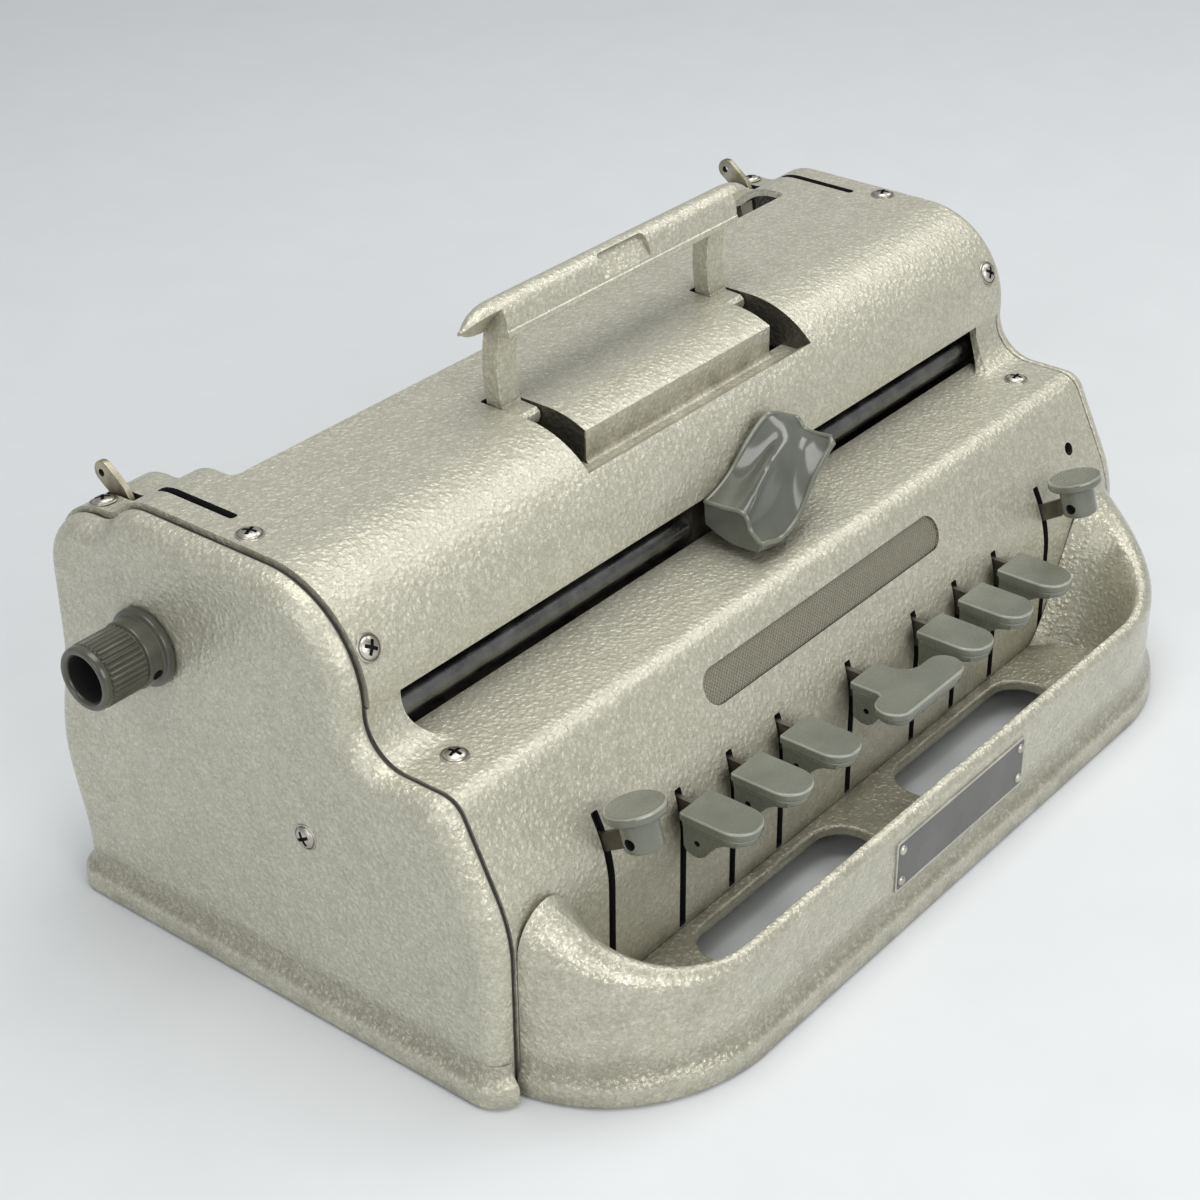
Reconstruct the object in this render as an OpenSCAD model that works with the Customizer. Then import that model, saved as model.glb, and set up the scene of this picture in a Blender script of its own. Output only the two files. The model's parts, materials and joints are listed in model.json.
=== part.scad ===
// Manual braille writer: nine-key mechanical embosser with a folding carry handle.
// X runs to the typist's right, Y to the rear, Z up. Origin: centre of the footprint, on the table.

/* [Casing] */
// distance between the two end seams
case_w = 330; // [322:1:338]
// height of the flat top at the seam
top_z = 144; // [143.6:0.2:144.6]
// how far each end cover stands out from its seam
end_depth = 7.5; // [6.5:0.5:8.5]
// sheet thickness of the covers
wall = 2.5; // [2:0.1:2.8]
// height of the casing's lower edge above the table
base_z = 0.8; // [0.6:0.1:1.2]
// how far the base flare stands out
toe = 3; // [2:0.25:3.5]
// width of the black sealing strip at each seam
gasket_t = 1; // [0.8:0.1:1.2]

/* [Front rail] */
// front of the rail, measured from the middle of the machine
rail_y = 108; // [106:0.5:110]
// height of the rail's rim
rim_z = 38.5; // [36:0.5:41]
// height of the horns where the rail meets the front cover
horn_z = 61.7; // [58:0.5:64]
// top of the floor between keys and rail
floor_z = 12.5; // [11:0.5:14]
// length of each finger opening
grip_hole_w = 80; // [70:1:82]

/* [Keys] */
// distance between neighbouring dot keys
key_pitch = 25; // [24.5:0.1:25.5]
// distance from the middle to the innermost dot key
key_first = 38; // [37:0.5:39]
// distance from the middle to the two round keys
round_x = 121.5; // [120:0.5:122]
// height of the dot key tops
key_z = 61; // [60.6:0.1:61.4]
// width of a dot key
key_w = 15.2; // [14:0.2:16.4]
// diameter of a round key
round_d = 18.5; // [17:0.5:20]
// width of the slots that the key levers pass through
key_slot = 3; // [2.6:0.1:3.4]
// thickness of a key lever
lever_t = 1.8; // [1.5:0.1:2]

/* [Shafts] */
// diameter of the paper feed shaft
shaft_d = 8; // [7:0.5:9]
// diameter of the feed roller
roller_d = 26; // [24:0.5:27]
// diameter of the key pivot rod
pivot_d = 8; // [7:0.5:9]
// diameter of the carriage rail
rail_d = 10; // [9:0.5:10.5]
// diameter of the carriage guide rod
guide_d = 6; // [5:0.5:6.5]
// radial running clearance of every turning or sliding fit
fit = 0.06; // [0.03:0.01:0.08]

/* [Knobs] */
// distance over both knob ends
knob_span = 394; // [390:1:396]
// diameter of the knob flange
knob_flange_d = 24.6; // [23:0.2:26]
// diameter of the ribbed knob body
knob_body_d = 20.6; // [19:0.2:22]
// number of ribs on a knob
knob_ribs = 36; // [24:1:48]

/* [Handle] */
// inner distance between the two handle legs
leg_gap = 96; // [94:0.5:98]
// width of a handle leg
leg_w = 9; // [8:0.25:9.4]
// half length of the grip's straight part
grip_half = 61.5; // [60:0.5:63]

/* [Carriage] */
// length of the finger pad along the carriage
pad_w = 44; // [40:1:46]
// pitch of the escapement rack, one braille cell
cell = 6.3; // [6:0.1:6.5]

/* [Hidden] */
hw = case_w / 2;
cw = hw - gasket_t - 0.05;
front_y = -65.8;
rear_y = 107;
bulge = 5.8;
face_x = hw + end_depth;
frame_x = hw - 8;
frame_end = frame_x + 3;
slot_x = hw - 14.5;
release_x = frame_x - 3.7;
roller_half = frame_x - 25;
kx = [key_first, key_first + key_pitch, key_first + 2 * key_pitch];
slope_a = 63.7;
big_r = 47;
bend_r = 9;
neck_r = 14;
nose_r = 33;
nose_y = 18;
nose_z = top_z - nose_r;
shelf_z = 94.3;
step_r = 17;
dip_r = 12;
step_y = 66;
hump_r = 19;
hump_y = 88;
shaft_y = 63.5;
shaft_z = 104.4;
pivot_y = 22;
pivot_z = 40;
rail_yy = nose_y - nose_r + 8;
rail_zz = 98;
guide_y = rail_yy + 7;
guide_z = 105;
hinge_y = 29.5;
hinge_z = 139.5;
hinge_d = 4;
lip = 1.3;
grip_lip = 1.6;
hub_d = 11.8;
round_tilt = 17;
round_top = [-73.7, 80.2];
round_screw = [-76.6, 70.8];
round_slot_top = 71.2;
arm_end = -78.5;
arm_top = 73.4;
neck_set = 0.0413;
neck_y = nose_y - nose_r - neck_r + neck_set;
tray_y = neck_y - 1.3;
cover_low = nose_z - 0.8;
ledge_z = 130.9;
ledge_rise = 3.6;
leg_x = leg_gap / 2;
pad_x = -14;
stub_x = pad_x + 36;
stub_z = 102.4;
drum_y = 70;
drum_z = 40;
drum_pin = 6;
release_y = 86;
release_z = 118;
release_pin = 5;
bar_y = 52;
bar_z = 132;
bar_d = 5;
shelf_screw_y = neck_y - 4.2413;
tip_x = knob_span / 2;

shell_paint = [0.74, 0.72, 0.64];
grey_plastic = [0.47, 0.48, 0.45];
dark = [0.08, 0.08, 0.08];
steel = [0.62, 0.6, 0.56];
nickel = [0.78, 0.77, 0.74];

// ---------- shared shapes ----------

function arc(c, r, a, b, n) = [for (i = [0 : n]) c + r * [cos(a + (b - a) * i / n), sin(a + (b - a) * i / n)]];

// casing outline seen from the side, as [y, z], taken in by d
slope_s = [front_y + big_r + big_r * cos(180 - (90 - slope_a)), 47 + big_r * sin(90 - slope_a)];
bend_c = [slope_s[0] + (shelf_z - bend_r * (1 - sin(90 - slope_a)) - slope_s[1]) / tan(slope_a)
  + bend_r * cos(90 - slope_a), shelf_z - bend_r];
step_c = [step_y, top_z - step_r];
dip_c = step_c + (step_r + dip_r) * [cos(45), sin(45)];
hump_c = [hump_y, dip_c[1] - dip_r - hump_r];

function front_path(d) = concat(
  arc([front_y + big_r, 47], big_r - d, 180, 90 + slope_a, 7),
  arc(bend_c, bend_r - d, 90 + slope_a, 90, 6));
function neck_path(d) = arc([neck_y, shelf_z + neck_r], neck_r + d, -90, 0, 6);
function nose_path(d) = arc([nose_y, nose_z], nose_r - d, 180, 90, 14);
function step_path(d) = concat(
  arc(step_c, step_r - d, 90, 45, 4),
  arc(dip_c, dip_r + d, 236.25, 270, 3));
function hump_path(d) = arc(hump_c, hump_r - d, 90, 0, 8);
function rear_path(d) = [for (i = [0 : 10]) [rear_y - d + bulge * pow(sin(18 * i), 2), 92 - 7.8 * i]];
function outline(d, low) = concat([[front_y + d, low]], front_path(d), neck_path(d), nose_path(d),
  step_path(d), hump_path(d), rear_path(d), [[rear_y - d, low]]);

function rev(v) = [for (i = [len(v) - 1 : -1 : 0]) v[i]];

module along_x(x0, x1) {
  translate([x0, 0, 0]) rotate([90, 0, 90]) linear_extrude(x1 - x0) children();
}

module rod(y, z, d, x0, x1) {
  translate([x0, y, z]) rotate([0, 90, 0]) cylinder(h = x1 - x0, d = d, $fn = 48);
}

module both() {
  children();
  mirror([1, 0, 0]) children();
}

module round_rect(x0, x1, y0, y1, r) {
  translate([x0 + r, y0]) square([x1 - x0 - 2 * r, y1 - y0]);
  translate([x0, y0 + r]) square([x1 - x0, y1 - y0 - 2 * r]);
  for (x = [x0 + r, x1 - r], y = [y0 + r, y1 - r]) translate([x, y]) circle(r = r, $fn = 40);
}

// closed tube of triangles through rings of equal length, with flat caps fanned from two hub points
module loft_fan(rings, hubs) {
  m = len(rings[0]);
  n = len(rings);
  pts = concat([for (r = rings) for (p = r) p], hubs);
  sides = [for (k = [0 : n - 2]) for (i = [0 : m - 1]) for (h = [0, 1])
    let (a = k * m + i, b = k * m + (i + 1) % m, c = a + m, e = b + m)
    h == 0 ? [a, b, e] : [a, e, c]];
  caps = [for (i = [0 : m - 1]) for (h = [0, 1])
    h == 0 ? [(i + 1) % m, i, n * m] : [(n - 1) * m + i, (n - 1) * m + (i + 1) % m, n * m + 1]];
  polyhedron(points = pts, faces = concat(sides, caps), convexity = 8);
}

// the same with each cap as one flat face
module loft(rings) {
  m = len(rings[0]);
  n = len(rings);
  pts = [for (r = rings) for (p = r) p];
  sides = [for (k = [0 : n - 2]) for (i = [0 : m - 1]) for (h = [0, 1])
    let (a = k * m + i, b = k * m + (i + 1) % m, c = a + m, e = b + m)
    h == 0 ? [a, b, e] : [a, e, c]];
  polyhedron(points = pts, faces = concat([rev([for (i = [0 : m - 1]) i])], sides,
    [[for (i = [0 : m - 1]) (n - 1) * m + i]]), convexity = 8);
}

// ---------- casings ----------

function end_ring(x, d, low) = [for (p = outline(d, low)) [x, p[0], p[1]]];

module end_shell() {
  deep = end_depth - wall;
  outer = [for (a = [0 : 15 : 90]) end_ring(hw + end_depth * sin(a), 7 * (1 - cos(a)), base_z)];
  inner = [for (a = [0 : 18 : 90])
    end_ring(hw + deep * sin(a) - (a == 0 ? 1 : 0), wall + 4.5 * (1 - cos(a)), base_z + wall)];
  difference() {
    loft_fan(outer, [[hw, 20, 60], [face_x, 20, 60]]);
    loft_fan(inner, [[hw - 1, 20, 60], [hw + deep, 20, 60]]);
  }
}

module flare_profile() {
  polygon([[-2.5, 0], [toe + 0.5, 0], [toe + 0.5, 3.2], [toe * 0.7, 5.5], [toe * 0.3, 8.5], [0.05, 12], [-2.5, 12]]);
}

module end_cover() {
  difference() {
    union() {
      end_shell();
      translate([face_x, 99.5, base_z]) rotate([90, 0, 0]) linear_extrude(158.5) flare_profile();
      translate([face_x - 7, 99.5, base_z]) rotate_extrude(angle = 90, $fn = 48)
        translate([7, 0]) flare_profile();
      translate([face_x - 7, -59, base_z]) rotate([0, 0, -78]) rotate_extrude(angle = 78, $fn = 48)
        translate([6.9, 0]) flare_profile();
      translate([hw + 1, 4.2, 63]) rotate([0, 90, 0]) cylinder(h = end_depth - 2, d = 12, $fn = 32);
    }
    rod(shaft_y, shaft_z, shaft_d + 2.4, hw - 5, face_x + 5);
    rod(4.2, 63, 4.2, hw - 5, face_x + 5);
    translate([hw - 10, -200, -1]) cube([10, 400, 200]);
  }
}

module left_end_cover() {
  color(shell_paint) mirror([1, 0, 0]) end_cover();
}

module right_end_cover() {
  color(shell_paint) end_cover();
}

module seam_gaskets() {
  color(dark) both() along_x(hw - gasket_t, hw) difference() {
    polygon(outline(0.7, base_z + 1.5));
    polygon(outline(3.4, base_z + 5));
  }
}

// sheet between two offsets of one path
module sheet(outer, inner) {
  polygon(concat(outer, rev(inner)));
}

function cover_top(d, y_end) = concat([[nose_y - nose_r + d, cover_low]], nose_path(d), [[y_end, top_z - d]]);
function cover_end(d) = concat([[nose_y - nose_r + d, cover_low]], nose_path(d), step_path(d), hump_path(d),
  [[rear_y - d, 93.6]]);

module under_curve(y0, y1, low) {
  intersection() {
    polygon(concat(cover_top(-lip + 0.4, 70), [[70, low], [nose_y - nose_r, low]]));
    translate([y0, low]) square([y1 - y0, 60]);
  }
}

module top_cover() {
  in = wall - lip;
  color(shell_paint) difference() {
    union() {
      along_x(-cw, cw) sheet(cover_top(-lip, 60), cover_top(in, 60));
      both() along_x(frame_x - 19.5, cw) sheet(cover_end(-lip), cover_end(in));
      both() along_x(leg_x - 2.5, leg_x - 0.5) under_curve(2.8, 37, 129.3);
      both() along_x(leg_x + leg_w + 0.6, leg_x + leg_w + 3) under_curve(-12, 37, 129.3);
      along_x(-leg_x + 0.5, leg_x - 0.5) under_curve(2.8, 4.8, 129.3);
      along_x(-leg_x - leg_w - 0.6, leg_x + leg_w + 0.6) under_curve(-12, 4.8, 129.3);
    }
    along_x(-leg_x - leg_w - 0.6, leg_x + leg_w + 0.6)
      polygon([[2.8, ledge_z], [-1.2, ledge_z], [-6.6, ledge_z + ledge_rise],
        [-20, ledge_z + ledge_rise + 9], [-20, 170], [2.8, 170]]);
    both() translate([leg_x - 0.5, -20, ledge_z]) cube([leg_w + 1.1, 55.9, 30]);
    both() rod(hinge_y, hinge_z, hinge_d, leg_x - 4, leg_x + leg_w + 5);
    both() translate([release_x - 0.9, 42, 120]) cube([3, 31, 40]);
    both() translate([release_x - 2, 80.5, 120]) cube([4, 20.5, 40]);
    both() translate([hw - 6.8, 31.8, 130]) cylinder(h = 30, d = 4.2, $fn = 24);
    both() translate([hw - 5.6, nose_y, nose_z]) rotate([63.7, 0, 0]) cylinder(h = 50, d = 4.2, $fn = 24);
    both() translate([hw - 5.2, hump_y, hump_c[1]]) rotate([-10.3, 0, 0]) cylinder(h = 50, d = 4.2, $fn = 24);
  }
}

module front_cover() {
  name_s = (79.5 - slope_s[1]) / tan(slope_a) + slope_s[0];
  color(shell_paint) difference() {
    union() {
      along_x(-cw, cw) sheet(
        concat([[front_y, 3]], front_path(0), neck_path(0), [[nose_y - nose_r, cover_low - 0.3]]),
        concat([[front_y + wall, 3]], front_path(wall), neck_path(wall),
          [[nose_y - nose_r + wall, cover_low - 0.3]]));
      translate([-slot_x - 0.5, tray_y, shelf_z - wall])
        cube([2 * slot_x + 1, nose_y - nose_r + 1.5 - tray_y, wall]);
    }
    translate([0, -20, 0]) rotate([90, 0, 0]) translate([0, 0, -40]) linear_extrude(50)
      round_rect(-slot_x, slot_x, shelf_z, shelf_z + 60, 9);
    for (x = [0, kx[0], kx[1], kx[2], -kx[0], -kx[1], -kx[2]])
      translate([x - key_slot / 2, -80, floor_z + 0.6]) cube([key_slot, 30, key_z + 1.2 - floor_z - 0.6]);
    both() translate([round_x - key_slot / 2, -80, floor_z + 0.6])
      cube([key_slot, 30, round_slot_top - floor_z - 0.6]);
    translate([0, name_s, 79.5]) rotate([slope_a, 0, 0]) translate([0, 0, -0.8]) linear_extrude(3)
      round_rect(-64, 64, -6, 6, 5.9);
    translate([hw - 17.5, -50, 73]) rotate([75, 0, 0]) cylinder(h = 20, d = 4.6, $fn = 24);
    both() translate([hw - 15.7, shelf_screw_y, 80]) cylinder(h = 30, d = 4.2, $fn = 24);
  }
}

module rear_cover() {
  flare = [[rear_y - 1, base_z + 14], [rear_y + 0.5, base_z + 12], [rear_y + 1.3, base_z + 8.5],
    [rear_y + toe, base_z + 5.5], [rear_y + toe + 1.4, base_z + 3.2], [rear_y + toe + 1.4, base_z],
    [rear_y - 1, base_z]];
  color(shell_paint) union() {
    along_x(-cw, cw) sheet(concat(rear_path(0), [[rear_y, base_z]]),
      concat(rear_path(wall), [[rear_y - wall, base_z]]));
    along_x(-cw, cw) polygon(flare);
  }
}

// plan of the front rail: a is the angle round the corner, k the distance outside the wall line
rail_a0 = asin((-front_y + 0.25 - 53) / (rail_y - 53));
function rail_p(a) = [58 - hw - 58 * cos(a), -53 - (rail_y - 53) * sin(a)];
function rail_sec(u) = let (
  kt = -(3.8 + 9.2 * pow(1 - u, 2)),
  zt = rim_z + (horn_z - rim_z) * pow(1 - u, 2.2),
  ki = -(10 + 41 * pow(1 - u, 1.6)),
  t0 = 1.4 + (toe - 1.4) * min(1, u * 3))
  concat([[ki, base_z], [t0, base_z], [t0, base_z + 3], [t0 * 0.75, base_z + 5.2], [t0 * 0.3, base_z + 8.5],
    [0, base_z + 12]],
  [for (j = [0 : 5]) [kt * (1 - cos(18 * j)), zt + kt * 1.05 * (1 - sin(18 * j))]],
  [for (j = [1 : 8]) let (t = j / 8) [kt + (ki - kt) * t, zt - (zt - floor_z + 0.7) * t * t * (3 - 2 * t)]]);
function rail_dir(u) = [cos(90 * pow(u, 1.3)), sin(90 * pow(u, 1.3))];
function rail_ring(a, s) = let (u = (a - rail_a0) / (90 - rail_a0), p = rail_p(a), v = rail_dir(u))
  [for (q = rail_sec(u)) [s * (p[0] - q[0] * v[0]), p[1] - q[0] * v[1], q[1]]];

function rail_hub(s) = let (p = rail_p(rail_a0)) [-s * (p[0] + 6), p[1], 8];

module palm_rail() {
  steps = 14;
  left = [for (i = [0 : steps]) rail_ring(rail_a0 + (90 - rail_a0) * i / steps, 1)];
  right = [for (i = [steps : -1 : 0]) rail_ring(rail_a0 + (90 - rail_a0) * i / steps, -1)];
  plan = [for (i = [0 : steps]) let (a = rail_a0 + (90 - rail_a0) * i / steps, u = i / steps)
    rail_p(a) + 5 * rail_dir(u) - [0, i == 0 ? 0.1 : 0]];
  color(shell_paint) difference() {
    union() {
      loft_fan(concat(left, right), [rail_hub(-1), rail_hub(1)]);
      translate([0, 0, base_z + 0.4]) linear_extrude(floor_z - base_z - 0.4)
        polygon(concat(plan, [for (p = rev(plan)) [-p[0], p[1]]]));
      translate([15 - hw, -70, base_z + 0.2]) cube([case_w - 30, 30, 1.5]);
    }
    both() translate([0, 0, -1]) linear_extrude(floor_z + 2)
      round_rect(14, 14 + grip_hole_w, -96, -70, 11);
    for (x = [-34.5, 34.5], z = [18, 29.5]) translate([x, -rail_y - 2, z]) rotate([-90, 0, 0])
      cylinder(h = 6, d = 2.4, $fn = 24);
  }
}

module bottom_plate() {
  color(steel) translate([-cw, -63, base_z + 1.8]) cube([2 * cw, 167, 2]);
}

module rubber_feet() {
  color(dark) both() for (y = [-30, 90]) translate([hw - 25, y, 0]) difference() {
    cylinder(h = base_z + 1.8, d = 18, $fn = 48);
    translate([0, 0, -1]) cylinder(h = 2, d = 6, $fn = 24);
  }
}

module label_plate() {
  color([0.25, 0.26, 0.27]) difference() {
    translate([-37.5, -rail_y - 0.6, 14.5]) cube([75, 0.6, 18.5]);
    for (x = [-34.5, 34.5], z = [18, 29.5]) translate([x, -rail_y - 2, z]) rotate([-90, 0, 0])
      cylinder(h = 6, d = 2.4, $fn = 24);
  }
}

module label_pins() {
  color(nickel) for (x = [-34.5, 34.5], z = [18, 29.5]) translate([x, -rail_y - 0.6, z]) rotate([90, 0, 0]) {
    translate([0, 0, -3.6]) cylinder(h = 3.6, d = 2.4, $fn = 24);
    cylinder(h = 0.8, d1 = 3.4, d2 = 2.4, $fn = 24);
  }
}

// one recessed-cross screw, standing on z = 0 with its shank downwards
module cross_screw(shank) {
  difference() {
    union() {
      rotate_extrude($fn = 48) polygon([[0, 0], [4.2, 0], [4.2, 0.5], [3.6, 1.1], [2.4, 1.5], [0, 1.6]]);
      translate([0, 0, -shank]) cylinder(h = shank, d = 4.2, $fn = 24);
    }
    translate([-2.4, -0.45, 0.6]) cube([4.8, 0.9, 2]);
    translate([-0.45, -2.4, 0.6]) cube([0.9, 4.8, 2]);
  }
}

module cover_screws() {
  color(nickel) both() {
    translate([hw - 6.8, 31.8, top_z + lip]) cross_screw(6);
    translate([hw - 5.6, nose_y, nose_z]) rotate([63.7, 0, 0]) translate([0, 0, nose_r + lip]) cross_screw(5);
    translate([hw - 5.2, hump_y, hump_c[1]]) rotate([-10.3, 0, 0]) translate([0, 0, hump_r + lip]) cross_screw(6);
    translate([hw - 15.7, shelf_screw_y, shelf_z]) cross_screw(6);
    translate([face_x, 4.2, 63]) rotate([0, 90, 0]) cross_screw(end_depth);
  }
}

// ---------- frame and shafts ----------

module frame_plate() {
  difference() {
    polygon([[-58, base_z + 3.8], [102, base_z + 3.8], [102, 60], [100, 112], [86, 127], [70, 136], [20, 138],
      [0, 134], [rail_yy - 3, 120], [rail_yy - 5, 106], [rail_yy - 7.2, rail_zz], [rail_yy - 7.2, 92], [-40, 88],
      [-55, 60]]);
    translate([shaft_y, shaft_z]) circle(d = shaft_d + 6, $fn = 48);
    translate([rail_yy, rail_zz]) circle(d = rail_d, $fn = 48);
    translate([guide_y, guide_z]) circle(d = guide_d, $fn = 48);
    translate([pivot_y, pivot_z]) circle(d = pivot_d, $fn = 48);
    translate([bar_y, bar_z]) circle(d = bar_d, $fn = 48);
    translate([shaft_y, shaft_z - 20]) circle(d = 6 + 2 * fit, $fn = 48);
    translate([release_y, release_z]) circle(d = release_pin, $fn = 48);
    translate([-20, 40]) circle(d = 26, $fn = 48);
    translate([32, 80]) circle(d = 30, $fn = 48);
  }
}

module left_side_frame() {
  color(steel) difference() {
    along_x(-frame_end, -frame_x) frame_plate();
    rod(drum_y, drum_z, drum_pin, -frame_end - 1, -frame_x + 1);
  }
}

module right_side_frame() {
  color(steel) along_x(frame_x, frame_end) frame_plate();
}

module carriage_rail() {
  color(dark) rod(rail_yy, rail_zz, rail_d, -frame_end, frame_end);
}

module guide_rod() {
  color(dark) rod(guide_y, guide_z, guide_d, -frame_end, frame_end);
}

module escapement_rack() {
  n = floor((2 * frame_x - 14) / cell);
  color(steel) translate([-n * cell / 2, 26, 92]) rotate([90, 0, 0]) linear_extrude(3) polygon(concat(
    [[n * cell, 0], [0, 0]],
    [for (i = [0 : n - 1]) for (k = [0, 1]) [i * cell + k * cell * 0.9, k == 0 ? 8 : 11]], [[n * cell, 8]]));
  color(steel) both() translate([frame_x - 10, 23, 92]) cube([10, 3, 7.5]);
}

module key_pivot_rod() {
  color(steel) rod(pivot_y, pivot_z, pivot_d, -frame_end, frame_end);
}

module key_stop_bar() {
  color(steel) {
    translate([-kx[2] - 20, -48, key_z - 0.7]) cube([2 * kx[2] + 40, 6, 6]);
    for (x = [-kx[1] - key_pitch / 2, kx[1] + key_pitch / 2]) translate([x - 3, -48, key_z + 3]) cube([6, 6, 85.5 - key_z]);
  }
}

module return_springs() {
  color(steel) for (x = [-round_x, -kx[2], -kx[1], -kx[0], 0, kx[0], kx[1], kx[2], round_x])
    rod_tube(pivot_y, pivot_z, pivot_d, pivot_d + 4, x + 5.6, x + 13.6);
}

module rod_tube(y, z, d0, d1, x0, x1) {
  difference() {
    union() {
      for (i = [0 : 3]) rod(y, z, d1, x0 + i * (x1 - x0) / 4, x0 + (i + 0.7) * (x1 - x0) / 4);
      rod(y, z, d1 - 0.8, x0, x1);
    }
    rod(y, z, d0, x0 - 1, x1 + 1);
  }
}

module bell_gong() {
  color(nickel) translate([112, 66, 40]) difference() {
    union() {
      rotate_extrude($fn = 64) polygon(concat(arc([0, 0], 18, 0, 90, 10), rev(arc([0, 0], 16.4, 0, 90, 10))));
      translate([0, 0, base_z + 3.8 - 40]) cylinder(h = 53.2 - base_z, d = 5, $fn = 32);
    }
  }
  color(nickel) translate([82, 60.5, base_z + 3.8]) cube([8, 2, 9]);
  color(nickel) translate([86, 62, 10]) rotate([-90, 0, 0]) cylinder(h = 8, d = 3, $fn = 32);
}

module margin_bar() {
  color(steel) rod(bar_y, bar_z, bar_d, -frame_end, frame_end);
}

module handle_pins() {
  color(steel) both() rod(hinge_y, hinge_z, hinge_d, leg_x - 3, leg_x + leg_w + 3.6);
}

module pivot_pins() {
  color(steel) {
    both() rod(release_y, release_z, release_pin, release_x - 5.3, frame_end);
    rod(drum_y, drum_z, drum_pin, -frame_end, -frame_x + 20);
  }
}

module shaft_bushings() {
  color([0.7, 0.55, 0.3]) both() difference() {
    rod(shaft_y, shaft_z, shaft_d + 6, frame_x - 1, frame_end + 1);
    rod(shaft_y, shaft_z, shaft_d + 2 * fit, frame_x - 5, hw);
  }
}

module paper_table() {
  color(dark) along_x(-roller_half - 2, roller_half + 2) polygon([[104.3, 92.6], [104.3, 91.2], [99, 90.4], [84, 76], [83, 77], [98, 91.6]]);
}

// ---------- paper feed ----------

module feed_roller() {
  color(dark) difference() {
    rod(shaft_y, shaft_z, roller_d, -roller_half, roller_half);
    rod(shaft_y, shaft_z, shaft_d, -frame_x, frame_x);
  }
}

module feed_shaft() {
  color(steel) rod(shaft_y, shaft_z, shaft_d, -tip_x + 14, tip_x - 14);
}

module knob() {
  x0 = face_x + 0.5;
  difference() {
    union() {
      rod(shaft_y, shaft_z, knob_flange_d, x0, x0 + 2.6);
      rod(shaft_y, shaft_z, knob_body_d + 0.6, x0 + 2, x0 + 8);
      along_x(x0 + 7, tip_x - 2) translate([shaft_y, shaft_z]) polygon([for (i = [0 : 2 * knob_ribs - 1])
        (knob_body_d / 2 - (i % 2 == 0 ? 0 : 0.6)) * [cos(180 * i / knob_ribs), sin(180 * i / knob_ribs)]]);
      rod(shaft_y, shaft_z, knob_body_d - 1.4, tip_x - 3, tip_x);
    }
    rod(shaft_y, shaft_z, 14.4, tip_x - 13, tip_x + 5);
    rod(shaft_y, shaft_z, shaft_d, x0 - 5, tip_x);
    translate([x0 + 5.2, shaft_y, shaft_z]) rotate([110, 0, 0]) cylinder(h = 20, d = 3.6, $fn = 24);
  }
}

module left_knob() {
  color(grey_plastic) mirror([1, 0, 0]) knob();
}

module right_knob() {
  color(grey_plastic) knob();
}

module ratchet_wheel() {
  color(steel) difference() {
    along_x(frame_x - 12, frame_x - 9) translate([shaft_y, shaft_z]) polygon([for (i = [0 : 71])
      (i % 2 == 0 ? 16 : 14.2) * [cos(5 * i), sin(5 * i)]]);
    rod(shaft_y, shaft_z, shaft_d, frame_x - 17, frame_x);
  }
}

module pressure_rollers() {
  color(dark) {
    rod(shaft_y, shaft_z - 20, 6, -frame_end - 1, frame_end + 1);
    for (x = [-95, -32, 32, 95]) rod(shaft_y, shaft_z - 20, 13, x - 10, x + 10);
  }
}

module release_lever() {
  difference() {
    union() {
      along_x(release_x - 1.1, release_x + 1.1) polygon(concat([[83.4, 118], [85.5, 134.4], [88.4, 139.2]],
        arc([97.4, 141.6], 3.6, 122, -58, 9), [[93.6, 134.4], [91.2, 130.6], [88.6, 118]]));
      rod(release_y, release_z, 11, release_x - 1.7, release_x + 1.7);
    }
    rod(release_y, release_z, release_pin + 2 * fit, release_x - 5, release_x + 5);
    rod(97.8, 141.4, 2.4, release_x - 5, release_x + 5);
  }
}

module left_release_lever() {
  color(nickel) mirror([1, 0, 0]) release_lever();
}

module right_release_lever() {
  color(nickel) release_lever();
}

// ---------- carry handle ----------

function grip_sec(x, s) = [for (i = [0 : 16]) let (a = 180 - 180 * i / 16)
  [x, 30 + s * (-0.2 + 6.3 * cos(a)), 174.5 + s * (-3.5 + 9.5 * sin(a) - (i == 0 || i == 16 ? grip_lip : 0))]];

module grip_half_shape() {
  loft([grip_sec(-1, 1), grip_sec(grip_half - 2, 1), grip_sec(grip_half + 2, 0.82), grip_sec(grip_half + 6, 0.5),
    grip_sec(grip_half + 9.5, 0.14)]);
}

module carry_handle() {
  leg_c = [-26.4, 158];
  color(shell_paint) difference() {
    union() {
      both() grip_half_shape();
      both() along_x(leg_x, leg_x + leg_w) union() {
        polygon(concat(arc(leg_c, 61.5, -13, 13.4, 10), arc(leg_c, 55.2, 13.4, -13, 10)));
        translate([hinge_y, hinge_z]) circle(d = 8.4, $fn = 40);
        polygon([[hinge_y - 3.6, hinge_z + 1.5], [27.5, 146], [33.6, 146], [hinge_y + 4.1, hinge_z + 0.5]]);
        polygon([[hinge_y, hinge_z - 1.5], [22.4, hinge_z - 0.8], [20.3, hinge_z + 0.4], [19.5, hinge_z + 2.2],
          [19.8, hinge_z + 4], [21.2, hinge_z + 5.2], [hinge_y, hinge_z + 5.6]]);
      }
    }
    along_x(-leg_x, leg_x) polygon([for (i = [0 : 12]) let (a = 180 - 15 * i)
      [29.8 + 4.1 * cos(a), 170.9 + (a == 180 || a == 0 ? -1 - grip_lip : 7.2 * sin(a))]]);
    both() along_x(leg_x + leg_w + 0.35, 90) translate([1.9, 153]) circle(r = 35.1, $fn = 96);
    translate([0, 26.4, 178.6]) rotate([38, 0, 0]) translate([-11.7, -4, -0.3]) cube([23.4, 8.4, 6]);
    both() rod(hinge_y, hinge_z, hinge_d + 2 * fit, leg_x - 1, leg_x + leg_w + 1);
  }
}

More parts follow.
